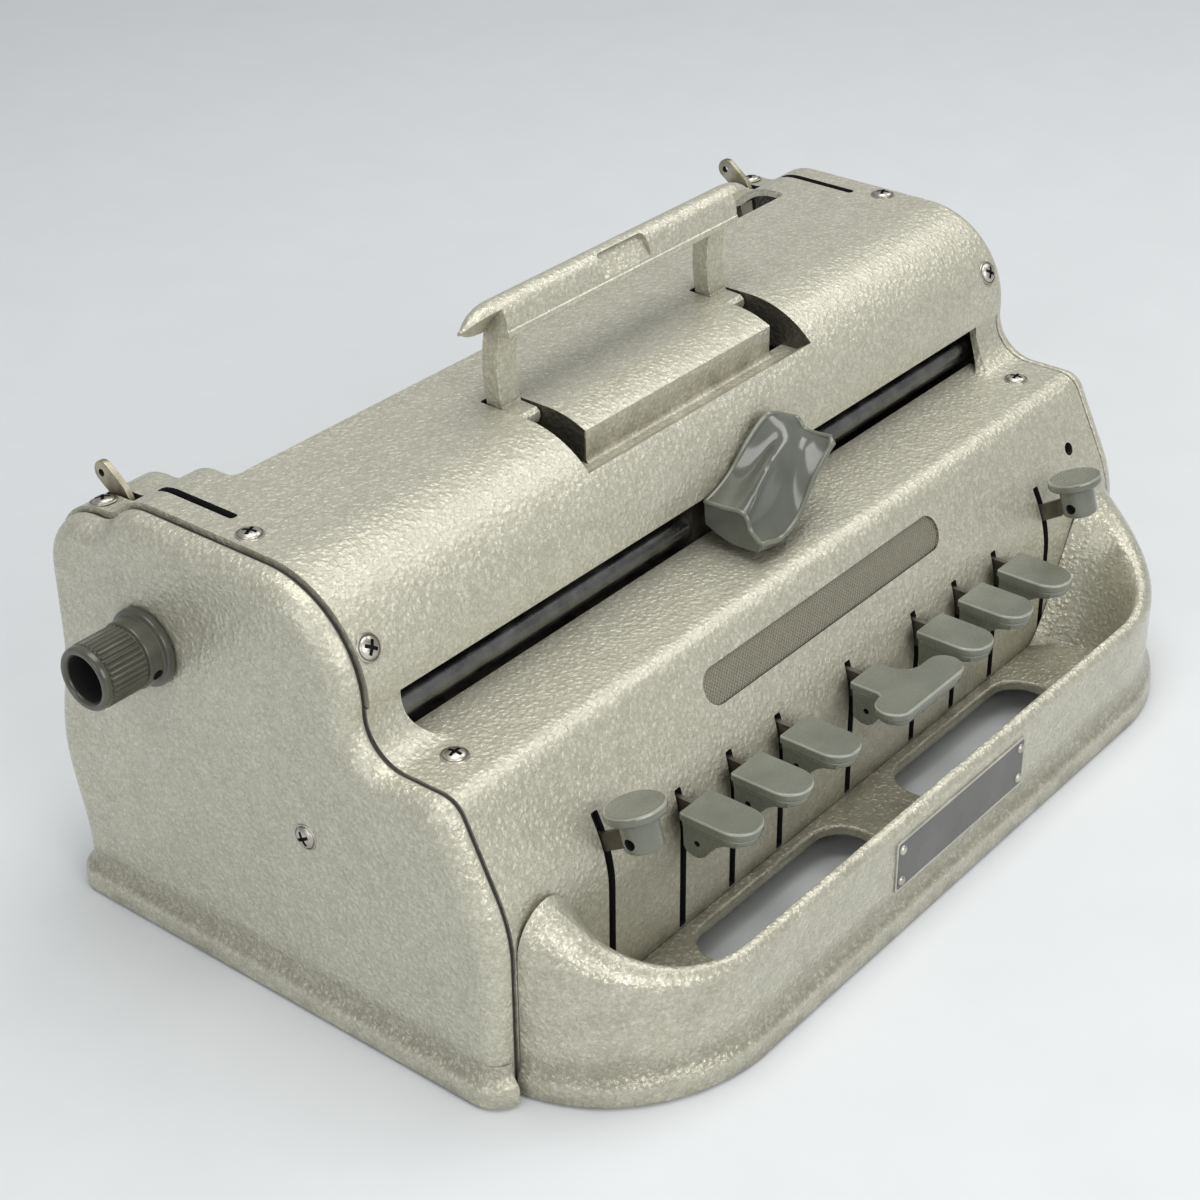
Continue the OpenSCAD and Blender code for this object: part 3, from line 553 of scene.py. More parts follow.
def enamel(name, dark, light, grime_and_shade_tone, grime_and_shade_share=0.75, hatch=False, stain=0.0, polish=0.0):
    """Hammered enamel; stain adds blots, polish takes roughness away where hands rub it."""
    finish, tree = new_finish(name, metallic=0.4, coat=0.35, coat_roughness=0.2)
    skin = use(tree, HAMMER)
    dirt_and_shade = use(tree, GRIME_AND_SHADE)["Mask"]
    tone = blend(tree, skin["Tone"], dark, light)
    # darker where the occlusion mask is high: dirt and painted shade in corners and crevices
    tone = blend(tree, times(tree, dirt_and_shade, grime_and_shade_share), tone, grime_and_shade_tone)
    # painted shade and dirt in the cove above the foot
    tone = cove_shade_and_dirt(tree, tone, skin["Tone"])
    if stain:
        tone = stained(tree, tone, stain)
    height = skin["Height"]
    if hatch:
        weave = hatching(tree)
        tone = blend(tree, scale_to(tree, weave, 0.0, 1.0, 0.55, 0.0), tone, (0.12, 0.11, 0.08))
        height = plus(tree, times(tree, skin["Height"], 0.4), weave)
    gloss = scale_to(tree, skin["Tone"], 0.0, 1.0, 0.4 - polish, 0.29 - polish)
    gloss = plus(tree, gloss, times(tree, dirt_and_shade, 0.25))
    return finished(finish, tone, gloss, height, 0.0003, 0.8)


def moulded(name, dark, light, roughness):
    """Smooth moulded plastic or baked paint, a little uneven, with dirt and painted shade in its corners."""
    finish, tree = new_finish(name, coat=0.35, coat_roughness=0.12)
    place = here(tree)
    cloud = noise(tree, place, 75.0, 2.0)
    peel = noise(tree, place, 700.0, 2.0)
    dirt_and_shade = use(tree, GRIME_AND_SHADE, Reach=0.006, Noise_Scale=200.0)["Mask"]
    marks = use(tree, SCRATCHES, Along=(120.0, 500.0, 120.0), Amount=0.15)["Mask"]
    tone = blend(tree, scale_to(tree, cloud, 0.3, 0.7), dark, light)
    tone = blend(tree, times(tree, dirt_and_shade, 0.7), tone, (0.06, 0.058, 0.04))
    gloss = plus(tree, roughness, times(tree, marks, 0.25))
    gloss = plus(tree, gloss, times(tree, dirt_and_shade, 0.2))
    return finished(finish, tone, gloss, plus(tree, peel, marks), 0.00001, 0.6)


def dusted(tree, tone, share):
    return blend(tree, times(tree, use(tree, DUST)["Mask"], share), tone, (0.2, 0.19, 0.17))


def metal(name, dark, light, roughness, tarnish, dusty=0.0):
    """Plated or bare metal with polishing lines; tarnish is the tone in its corners."""
    finish, tree = new_finish(name, metallic=1.0)
    place = here(tree)
    cloud = noise(tree, place, 150.0, 5.0)
    marks = use(tree, SCRATCHES, Amount=0.6)["Mask"]
    dirt_and_shade = use(tree, GRIME_AND_SHADE, Reach=0.005, Noise_Scale=180.0)["Mask"]
    tone = blend(tree, scale_to(tree, cloud, 0.35, 0.65), dark, light)
    tone = blend(tree, times(tree, dirt_and_shade, 0.8), tone, tarnish)
    if dusty:
        tone = dusted(tree, tone, dusty)
    gloss = plus(tree, scale_to(tree, cloud, 0.3, 0.7, roughness, roughness + 0.12),
                  times(tree, marks, 0.15))
    return finished(finish, tone, plus(tree, gloss, times(tree, dirt_and_shade, 0.3)), marks, 0.00003, 0.5)


def matt_black(name, dark, light, roughness, dusty=0.12):
    """Dull black with a fine grain and dust on top."""
    finish, tree = new_finish(name)
    place = here(tree)
    grain = noise(tree, place, 900.0, 3.0)
    tone = dusted(tree, blend(tree, grain, dark, light), dusty)
    gloss = scale_to(tree, grain, 0.3, 0.7, roughness - 0.08, roughness + 0.08)
    return finished(finish, tone, gloss, grain, 0.00008, 0.6)


ENAMEL = enamel("hammered_enamel", (0.4, 0.385, 0.295), (0.69, 0.675, 0.56), (0.12, 0.105, 0.06))
NAME_FIELD = enamel("hatched_enamel", (0.26, 0.245, 0.18), (0.36, 0.345, 0.265), (0.08, 0.07, 0.04),
                    hatch=True)
RAIL_ENAMEL = enamel("handled_enamel", (0.38, 0.365, 0.28), (0.68, 0.665, 0.55), (0.1, 0.085, 0.05), 0.9,
                     stain=0.3, polish=0.07)
# a darker copy of the enamel: painted shade for walls that the light does not reach
SHADED = enamel("shaded_slot_wall_enamel", (0.07, 0.066, 0.048), (0.11, 0.104, 0.08), (0.03, 0.027, 0.018))
PLASTIC = moulded("grey_moulding", (0.125, 0.132, 0.1), (0.165, 0.173, 0.133), 0.26)
# the caps' lighter rims: wear and a painted highlight
WORN_HIGHLIT_PLASTIC = moulded("worn_highlit_moulding", (0.24, 0.25, 0.2), (0.34, 0.35, 0.29), 0.24)
PAD_PLASTIC = moulded("pad_moulding", (0.085, 0.09, 0.072), (0.115, 0.121, 0.097), 0.16)
KNOB_PLASTIC = moulded("knob_moulding", (0.05, 0.05, 0.036), (0.085, 0.085, 0.062), 0.28)
LABEL = moulded("label_enamel", (0.07, 0.07, 0.064), (0.1, 0.1, 0.092), 0.42)
LABEL_LINE = moulded("label_border", (0.36, 0.35, 0.3), (0.5, 0.49, 0.43), 0.4)
NICKEL = metal("nickel_plate", (0.42, 0.39, 0.33), (0.62, 0.6, 0.53), 0.27, (0.1, 0.085, 0.05))
TARNISH = metal("tarnished_nickel", (0.27, 0.245, 0.17), (0.5, 0.47, 0.37), 0.36, (0.07, 0.055, 0.03))
STEEL = metal("zinc_steel", (0.12, 0.108, 0.085), (0.2, 0.185, 0.155), 0.36, (0.04, 0.034, 0.024),
              dusty=0.08)
DARK_STEEL = metal("black_steel", (0.18, 0.18, 0.17), (0.28, 0.28, 0.265), 0.24, (0.02, 0.018, 0.015),
                   dusty=0.05)
BRONZE = metal("bushing_bronze", (0.42, 0.28, 0.12), (0.58, 0.42, 0.2), 0.32, (0.08, 0.05, 0.02))
RUBBER = matt_black("black_rubber", (0.012, 0.012, 0.012), (0.03, 0.03, 0.03), 0.75)
# near-black painted shade for the casing's inside, slot walls, holes and recesses
INSIDE_SHADE = matt_black("casing_inside_shade", (0.004, 0.004, 0.004), (0.008, 0.008, 0.007), 0.9, 0.02)

by_slot = {"casing_enamel": ENAMEL, "grey_plastic": PLASTIC, "black_rubber": RUBBER,
           "black_steel": DARK_STEEL, "nickel": NICKEL, "bushing_bronze": BRONZE,
           "label_enamel": LABEL, "lever_steel": STEEL}
for part in frame["record"]["subparts"]:
    for place in frame["nodes"][part["node"]].material_slots:
        place.material = by_slot[part["material_slot"]]


# ---------- casing ----------

def key_slot(x, top):
    bm = bmesh.new()
    hole = rounded(x - 1.5, x + 1.5, floor_z + 0.6, top, 0.5, 2)
    push(bm, [at(px, -80, pz) for px, pz in hole], at(0, 30, 0))
    # the key slot's walls are painted black as shade
    return solid("cutter", bm, INSIDE_SHADE)


def carriage_slot():
    bm = bmesh.new()
    hole = rounded(-slot_x, slot_x, shelf_z, shelf_z + 60, 9, 10)
    push(bm, [at(px, -30, pz) for px, pz in hole], at(0, 50, 0))
    return solid("cutter", bm, ENAMEL)


def bell_hole():
    bm = bmesh.new()
    turn(bm, [(0, 0), (2.3, 0), (2.3, 20), (0, 20)], at(147.5, -50, 73),
         (0, -sin(radians(75)), cos(radians(75))), 24)
    # the bell hole's wall is painted black as shade
    return solid("cutter", bm, INSIDE_SHADE)


def name_recess():
    """Cuts the shallow recess for a name on the front slope; it stays bare."""
    name_y = (name_z - slope_z) / tan(radians(slope_a)) + slope_y
    bm = bmesh.new()
    plan = rounded(-name_x, name_x, -6, 6, 5.9, 10)
    corners = push(bm, [at(px, py, -0.8) for px, py in plan], at(0, 0, 3.8))
    bmesh.ops.rotate(bm, cent=(0, 0, 0), matrix=Matrix.Rotation(radians(slope_a), 3, "X"), verts=corners)
    bmesh.ops.translate(bm, vec=at(0, name_y, name_z), verts=corners)
    return solid("cutter", bm, NAME_FIELD)


def front_cover():
    outer = [(front_y, 3)] + front_path(0) + neck_path(0) + [(nose_y - nose_r, cover_low - join_gap)]
    inner = ([(front_y + sheet_t, 3)] + front_path(sheet_t) + neck_path(sheet_t)
             + [(nose_y - nose_r + sheet_t, cover_low - join_gap)])
    bm = bmesh.new()
    span(bm, -cover_x, cover_x, outer + inner[::-1])
    cover = solid("front_cover_shell", bm, ENAMEL, NAME_FIELD)
    cutters = [key_slot(x, key_z + 1.2) for x in (0,) + dot_x + tuple(-x for x in dot_x)]
    cutters += [key_slot(x, round_slot_top) for x in (-round_x, round_x)]
    cutters += [carriage_slot(), bell_hole(), name_recess()]
    carve(cover, *cutters)
    blacken_inside(cover)
    return dress(cover, "casing", "casing_enamel", "front_cover")


def slot_floor():
    """The flat tray that carries on behind the shelf, under the carriage rail."""
    bm = bmesh.new()
    low, high = shelf_z - sheet_t, shelf_z - 0.02
    front, rear = neck_y - 1.3, -13.5
    span(bm, -slot_x - 0.5, slot_x + 0.5, [(front, low), (rear, low), (rear, high), (front, high)])
    tray = solid("carriage_tray", bm, ENAMEL)
    return dress(tray, "casing", "casing_enamel")


def under_skin(y0, y1, low, steps=20):
    """The area just under the cover's curve between two depths, down to a height."""
    r = nose_r + lip - 0.05
    tops = []
    for i in range(steps + 1):
        y = y0 + (y1 - y0) * i / steps
        tops.append((y, nose_z + sqrt(max(0.0, r * r - min(0.0, y - nose_y) ** 2))))
    return [(y0, low)] + tops + [(y1, low)]


def top_cover():
    skin = cover_end(-lip) + cover_end(sheet_t - lip)[::-1]
    bm = bmesh.new()
    span(bm, -cover_x, cover_x, skin)
    cover = solid("top_cover_shell", bm, ENAMEL)
    cutters = [box_cutter(-137.5, 137.5, 60, 118, 80, 170, 2.5, ENAMEL)]
    trough = [(2.8, ledge_z), (-1.2, ledge_z), (-6.6, ledge_z + ledge_rise), (-20, ledge_z + ledge_rise + 9),
              (-20, 170), (2.8, 170)]
    wide = leg_x + leg_w + 0.6
    bm = bmesh.new()
    span(bm, -wide, wide, trough)
    cutters.append(solid("cutter", bm, ENAMEL))
    for side in (-1, 1):
        # the release slots' walls are painted black as shade
        slots = [(leg_x - 0.5, leg_x + leg_w + 0.6, -1, 35.9, ledge_z, 0.8, ENAMEL),
                 (release_x - 0.9, release_x + 2.1, 42, 73, 120, 1.2, INSIDE_SHADE),
                 (release_x - 2, release_x + 2, 80.5, 101, 120, 1.2, INSIDE_SHADE)]
        for x0, x1, y0, y1, z0, r, finish in slots:
            cutters.append(box_cutter(*mirrored(side, x0, x1), y0, y1, z0, 175, r, finish))
    carve(cover, *cutters)
    blacken_inside(cover)
    return dress(cover, "casing", "casing_enamel", "top_cover")


def slot_shade_liners():
    """Black channels below the two long slots in the top cover: painted shade seen through the slots."""
    bm = bmesh.new()
    for side in (-1, 1):
        for x0, x1, z0, z1 in ((-2.4, 3.6, 136.4, 137), (-2.4, -1.8, 137, 142.6), (3.0, 3.6, 137, 142.6)):
            start, end = mirrored(side, release_x + x0, release_x + x1)
            span(bm, start, end, [(40.5, z0), (74.5, z0), (74.5, z1), (40.5, z1)])
    return dress(solid("slot_shade_liners", bm, INSIDE_SHADE), "casing", "black_rubber")


def handle_tub():
    """The sheet walls below the cover that the folded handle lies between; the walls that face sideways get
    painted shade.
    """
    bm = bmesh.new()
    near, far = leg_x - 0.45, leg_x + leg_w + 0.55
    wall_low = ledge_z - 1.6
    for x0, x1, y0, y1 in [(near - 2, near, 3.1, 37), (far, far + 2.4, -9.2, 37)]:
        for side in (-1, 1):
            span(bm, *mirrored(side, x0, x1), under_skin(y0, y1, wall_low))
    wide = near - 0.1
    span(bm, -wide, wide, under_skin(2.75, 4.8, wall_low, 2))
    bar = [(-9.2, wall_low), (4.8, wall_low), (4.8, ledge_z), (2.8, ledge_z + 0.02), (-1.2, ledge_z + 0.02),
           (-6.6, ledge_z + ledge_rise + 0.02), (-7.2, 134), (-8.5, 132.2), (-9.2, 131)]
    span(bm, -far, far, bar)
    fillet_r = 1.6
    fillet = [(2.9, ledge_z), (2.9, ledge_z + fillet_r)]
    fillet += arc(2.75 - fillet_r, ledge_z + fillet_r, fillet_r, 0, -90, 6)
    span(bm, -wide, wide, fillet)
    tub = solid("handle_tub", bm, ENAMEL, SHADED)
    for face in tub.data.polygons:
        if abs(face.normal.x) > 0.5:
            face.material_index = 1
    return dress(tub, "casing", "casing_enamel")


def rear_cover():
    bm = bmesh.new()
    skin = rear_path(0) + [(rear_y, base_z), (rear_y - sheet_t, base_z)] + rear_path(sheet_t)[::-1]
    span(bm, -cover_x, cover_x, skin)
    foot = [(-1, 14), (0.4, 13), (0.9, 10.5), (1.6, 8.2), (2.6, 6.2), (3.8, 4.6), (4.4, 3.4), (4.4, 0.6),
            (3.9, 0), (-1, 0)]
    span(bm, -cover_x, cover_x, [(rear_y + out, base_z + up) for out, up in foot])
    return dress(solid("rear_cover_shell", bm, ENAMEL), "casing", "casing_enamel", "rear_cover", edge=0.4)


def end_flare(bm, side):
    """The lip at the foot of an end cover, carried round both lower corners."""
    lip_section = [(-2.5, 0), (3.0, 0), (3.45, 0.5), (3.48, 1.5), (3.48, 4.9), (3.2, 6.1), (2.6, 7),
                   (1.8, 7.8), (1.05, 8.6), (0.5, 9.6), (0.2, 11), (0.05, 12.8), (-2.5, 12.8)]
    corner_r, front_corner, rear_corner = 7, -59, 99.5
    path = [(front_corner, a) for a in range(-78, 1, 6)] + [(y, 0) for y in range(-50, 96, 12)]
    path += [(rear_corner, a) for a in range(0, 91, 9)]
    ring = len(lip_section)

    def place(i, j):
        y, a = path[i]
        dy, dx = sin(radians(a)), cos(radians(a))
        out, up = lip_section[j % ring]
        return at(side * (face_x - corner_r + (corner_r + out) * dx), y + (corner_r + out) * dy, base_z + up)

    lay(bm, len(path) - 1, ring, place)


def end_cover(side):
    """A deep cover with a rounded shoulder, laid ring by ring from the seam outwards."""
    shoulder = [(0.0, 3.4), (0.0, 0.9), (0.2, 0.4), (0.6, 0.1), (1.0, 0.05)]
    shoulder += [(end_depth * sin(radians(a)), 7 * (1 - cos(radians(a)))) for a in range(12, 91, 6)]
    shoulder += [(end_depth, 7.8)]
    rings = [outline(d) for _, d in shoulder]
    count = len(rings[0])
    bm = bmesh.new()
    lay(bm, count, len(shoulder) - 1,
        lambda i, j: at(side * (seam_x + shoulder[j][0]), *rings[j][i % count]))
    close_up(bm)
    end_flare(bm, side)
    cover = solid(hand(side) + "_end_shell", bm, ENAMEL)
    return dress(cover, "casing", "casing_enamel", hand(side) + "_end_cover")


# ---------- palm rail ----------

rail_start = degrees(asin((-front_y + 0.25 + rail_turn_y) / (rail_y + rail_turn_y)))


def rail_point(u):
    """The rail's outside on the left, from the front cover (u = 0) to its straight front (u = 1)."""
    a = radians(rail_start + (90 - rail_start) * u)
    return rail_turn_x - seam_x - rail_turn_x * cos(a), rail_turn_y - (rail_y + rail_turn_y) * sin(a)


def rail_inward(u):
    angle = radians(90 * u ** 1.3)
    return cos(angle), sin(angle)


def rail_section(u):
    """Outside wall, rounded rim and inner slope, as (distance outwards, height)."""
    crown = -(3.8 + 9.2 * (1 - u) ** 2)
    top = rim_z + (horn_z - rim_z) * (1 - u) ** 2.2
    inner = -(10 + 41 * (1 - u) ** 1.6)
    out = 1.4 + (toe - 1.4) * min(1, u * 3)
    foot = [(inner, base_z), (out - 0.4, base_z)]
    foot += [(out * share, base_z + up) for share, up in
             ((1, 0.4), (1, 4.8), (0.92, 6.2), (0.74, 7.2), (0.5, 8.1), (0.26, 9.2), (0.08, 10.8), (0, 12.8))]
    rim = [(crown * (1 - cos(radians(a))), top + crown * 1.05 * (1 - sin(radians(a))))
           for a in range(0, 91, 9)]
    slope = []
    for j in range(1, 21):
        t = j / 20
        slope.append((crown + (inner - crown) * t, top - (top - floor_z + 0.7) * t * t * (3 - 2 * t)))
    return foot + rim + slope


def palm_rail():
    steps = 40
    stations = [(-1, i / steps) for i in range(steps + 1)] + [(1, 1 - i / steps) for i in range(steps + 1)]
    rings = []
    for side, u in stations:
        x, y = rail_point(u)
        dx, dy = rail_inward(u)
        rings.append([at(-side * (x - out * dx), y - out * dy, z) for out, z in rail_section(u)])
    ring = len(rings[0])
    bm = bmesh.new()
    lay(bm, len(stations) - 1, ring, lambda i, j: rings[i][j % ring])
    return dress(solid("palm_rail_rim", bm, RAIL_ENAMEL), "casing", "casing_enamel", "palm_rail")


def rail_floor():
    """The flat floor behind the rail, with an opening for the fingers of each hand."""
    steps = 24
    plan = []
    for i in range(steps + 1):
        x, y = rail_point(i / steps)
        dx, dy = rail_inward(i / steps)
        plan.append((x + 5 * dx, y + 5 * dy))
    plan += [(-x, y) for x, y in plan[::-1]]
    bm = bmesh.new()
    push(bm, [at(x, y, floor_z - 4) for x, y in plan], at(0, 0, 4))
    floor = solid("palm_rail_floor", bm, RAIL_ENAMEL)
    carve(floor, *(box_cutter(*mirrored(side, *opening_x), *opening_y, 0, 30, 11, RAIL_ENAMEL)
                   for side in (-1, 1)))
    near, far = opening_y[0] - 0.5, opening_y[1] + 0.5

    def at_opening(edge):
        level = abs(edge.verts[0].co.z - edge.verts[1].co.z) < 1e-5
        return level and all(near < v.co.y * 1000 < far and abs(v.co.x) * 1000 < opening_x[1] + 0.5
                             for v in edge.verts)

    bm = bmesh.new()
    bm.from_mesh(floor.data)
    soften(bm, 1.2, 3, 60, at_opening)
    bm.to_mesh(floor.data)
    bm.free()
    return dress(floor, "casing", "casing_enamel")


# ---------- label and screws ----------

def label_plate():
    """The blank plate on the rail: a pale edge and a dark field inside it."""
    front = -rail_y - 0.5
    border = 0.9
    bm = bmesh.new()
    push(bm, [at(x, front + 0.5, z) for x, z in rounded(-label_x, label_x, *label_z, 1.2, 4)], at(0, -0.5, 0))
    dress(solid("label_plate_edge", bm, LABEL_LINE), "casing", "label_enamel", "label_plate")
    bm = bmesh.new()
    field = rounded(border - label_x, label_x - border, label_z[0] + border, label_z[1] - border, 0.8, 4)
    push(bm, [at(x, front + 0.1, z) for x, z in field], at(0, -0.2, 0))
    return dress(solid("label_plate_field", bm, LABEL), "casing", "label_enamel")


def label_pins():
    bm = bmesh.new()
    pin = [(0, 1.0), (0.7, 0.93), (1.3, 0.65), (1.65, 0.2), (1.7, 0), (1.2, 0), (1.2, -3.6), (0, -3.6)]
    for x in (3 - label_x, label_x - 3):
        for z in (label_z[0] + 3.5, label_z[1] - 3.5):
            turn(bm, pin, at(x, -rail_y - 0.6, z), (0, -1, 0), 24)
    return dress(solid("label_pin_heads", bm, NICKEL), "casing", "nickel", "label_pins")


def screw_head():
    """One oval head with a cross recess painted black as shade, standing on z = 0."""
    bm = bmesh.new()
    turn(bm, [(0, 1.5), (1.2, 1.45), (2.3, 1.22), (3.0, 0.86), (3.4, 0.45), (3.5, 0.06), (3.72, 0.04),
              (3.8, 0.34), (4.1, 0.3), (4.25, 0.08), (4.25, 0), (2.1, 0), (2.1, -5),
              (0, -5)], at(0, 0, 0), (0, 0, 1), 40)
    head = solid("screw_head", bm, NICKEL)
    cutters = []
    for quarter in (0, 1):
        bm = bmesh.new()
        blade = push(bm, [at(x, y, 0.3) for x, y in ((-0.55, -2.3), (0.55, -2.3), (0.55, 2.3), (-0.55, 2.3))],
                     at(0, 0, 3))
        bmesh.ops.rotate(bm, cent=(0, 0, 0), matrix=Matrix.Rotation(quarter * pi / 2, 3, "Z"), verts=blade)
        cutters.append(solid("cutter", bm, INSIDE_SHADE))
    carve(head, *cutters)
    return head


def tilted_seat(x, y, z, radius, lean):
    """A screw's seat on a round of the cover, leaning to the rear, and its outward direction."""
    away = Vector((0, sin(radians(lean)), cos(radians(lean))))
    return at(x, y, z) + away * radius * 0.001, away


def cover_screws():
    """Ten oval heads, each given by its seat, its outward direction and the turn of its cross."""
    head = screw_head()
    up = Vector((0, 0, 1))
    seats = []
    for side in (-1, 1):
        seats += [(at(side * (seam_x - 6.8), 31.8, top_z + lip), up, 20),
                  (*tilted_seat(side * (seam_x - 5.6), nose_y, nose_z, nose_r + lip, -63.7), -35),
                  (*tilted_seat(side * (seam_x - 5.2), hump_y, hump_z, hump_r + lip, 10.3), 50),
                  (at(side * (seam_x - 15.7), -33.2, shelf_z), up, 5),
                  (at(side * face_x, 4.2, 63), Vector((side, 0, 0)), 30)]
    bm = bmesh.new()
    for centre, away, spin in seats:
        before = set(bm.verts)
        bm.from_mesh(head.data)
        fresh = [vert for vert in bm.verts if vert not in before]
        seat = (Matrix.Translation(centre) @ away.to_track_quat("Z", "Y").to_matrix().to_4x4()
                @ Matrix.Rotation(radians(spin), 4, "Z"))
        bmesh.ops.transform(bm, matrix=seat, verts=fresh)
    finishes = list(head.data.materials)
    bpy.data.objects.remove(head)
    return dress(solid("cover_screw_heads", bm, *finishes), "casing", "nickel", "cover_screws")


# ---------- carry handle ----------

def grip_section(s):
    """A rounded crown over a lower band that stands out a little, at the share s of its full size."""
    low = [(-5.2, -5.1), (-6.05, -5.0), (-6.45, -4.6), (-6.5, -3.4), (-6.3, -2.9), (-5.85, -2.6),
           (-5.8, -1.9)]
    crown = [(5.95 * cos(radians(a)), -3.0 + 9.0 * sin(radians(a))) for a in range(165, 14, -10)]
    full = low + crown + [(-y, z) for y, z in low[::-1]]
    return [(grip_y + s * (y - 0.2), grip_z + s * z) for y, z in full]


def grip_hollow():
    bm = bmesh.new()
    arch = [(29.8 + 4.1 * cos(radians(a)), 170.9 + 7.2 * sin(radians(a))) for a in range(168, 11, -12)]
    span(bm, -leg_x, leg_x, [(25.7, 167)] + arch + [(33.9, 167)])
    return solid("cutter", bm, ENAMEL)


def thumb_pocket():
    bm = bmesh.new()
    pocket = push(bm, [at(x, y, 0) for x, y in rounded(-11.7, 11.7, -6.5, 2, 1.8, 4)], at(0, 0, 6))
    bmesh.ops.rotate(bm, cent=(0, 0, 0), matrix=Matrix.Rotation(radians(52), 3, "X"), verts=pocket)
    bmesh.ops.translate(bm, vec=at(0, grip_y - 2.3, grip_z + 3), verts=pocket)
    return solid("cutter", bm, ENAMEL)


def tip_rounding(side):
    """Cuts the underside of a tip so that it lies on the nose when the handle is folded."""
    bm = bmesh.new()
    x0, x1 = mirrored(side, leg_x + leg_w + 0.35, 90)
    turn(bm, [(0, 0), (35.1, 0), (35.1, x1 - x0), (0, x1 - x0)], at(x0, 1.9, 153), (1, 0, 0), 160)
    return solid("cutter", bm, ENAMEL)


def carry_handle():
    """The grip: full size between the legs, drawn in to a blunt tip at each end."""
    tips = [-71.8, -71, -69.8, -68, -65.5, -62.5, -59.5, -57.5]
    stations = tips + list(range(-55, 56, 5)) + [-x for x in tips[::-1]]
    sections = []
    for x in stations:
        s = 1 - max(0.0, (abs(x) - 57.5) / 14.5) ** 2.3
        sections.append([at(x, y, z) for y, z in grip_section(max(0.14, s))])
    ring = len(sections[0])
    bm = bmesh.new()
    lay(bm, len(stations) - 1, ring, lambda i, j: sections[i][j % ring])
    close_up(bm)
    grip = solid("carry_handle_grip", bm, ENAMEL)
    carve(grip, grip_hollow(), thumb_pocket(), tip_rounding(-1), tip_rounding(1))
    return dress(grip, "handle", "casing_enamel", "carry_handle")


def handle_legs():
    """A bowed leg, its neck and the toe in front of the hinge, on both sides."""
    bm = bmesh.new()
    leg = arc(-26.4, 158, 61.5, -13, 13.4, 18) + arc(-26.4, 158, 55.2, 13.4, -13, 18)
    neck = [(hinge_y - 3.6, hinge_z + 1.5), (27.5, 146), (33.6, 146), (hinge_y + 4.1, hinge_z + 0.5),
            (hinge_y, hinge_z - 4)]
    foot = [(hinge_y, hinge_z - 1.5), (22.4, hinge_z - 0.8), (20.3, hinge_z + 0.4), (19.5, hinge_z + 2.2),
            (19.8, hinge_z + 4), (21.2, hinge_z + 5.2), (hinge_y, hinge_z + 5.6)]
    for side in (-1, 1):
        for shape in (leg, neck, foot):
            span(bm, *mirrored(side, leg_x, leg_x + leg_w), shape)
    soften(bm, 0.6, 2, 50)
    return dress(solid("carry_handle_legs", bm, ENAMEL), "handle", "casing_enamel")


# ---------- carriage lever ----------

# finger pad: lines that run along it, from its left end to its right end, as (y, z)
pad_rear = [(-16.9, 109.4), (-16.9, 113.6), (-16.9, 122.4), (-17, 127.4), (-17.6, 123.8)]
pad_ridge = [(-32, 110), (-31, 117), (-28.5, 120.4), (-26.5, 121.2), (-24.3, 120.2)]
pad_front = [(-39.2, 101.6), (-39, 98.9), (-38.5, 102.8), (-37.8, 114.2), (-37, 120.6)]
pad_scoop = [(0, 0), (0, -1.2), (0, -2), (0, -0.5), (0, 1.4)]
pad_hollow = [(0.78, -1.04), (0.96, -1.28), (0.84, -1.12), (0.72, -0.96), (0.3, -0.4)]
pad_low_front = [(-38, 98.7), (-37.8, 97), (-37.3, 99.6), (-36.9, 111), (-36.4, 118.2)]
pad_low_mid = [(-27, 98.6), (-27, 98.8), (-27, 104), (-27, 112.4), (-27, 116.2)]
pad_low_rear = [(-17.6, 102), (-17.6, 102.5), (-17.6, 108), (-17.6, 115), (-18, 117.6)]


def flow(points, s):
    """The place at the share s of a smooth line through a few points."""
    last = len(points) - 1
    k = min(int(s * last), last - 1)
    t = s * last - k
    p0, p1, p2, p3 = (points[max(0, min(last, k + o))] for o in (-1, 0, 1, 2))
    return tuple(0.5 * (2 * b + (c - a) * t + (2 * a - 5 * b + 4 * c - d) * t * t
                        + (3 * b - a - 3 * c + d) * t ** 3) for a, b, c, d in zip(p0, p1, p2, p3))


def between(first, second, shift):
    return tuple((a + b) / 2 + c for a, b, c in zip(first, second, shift))


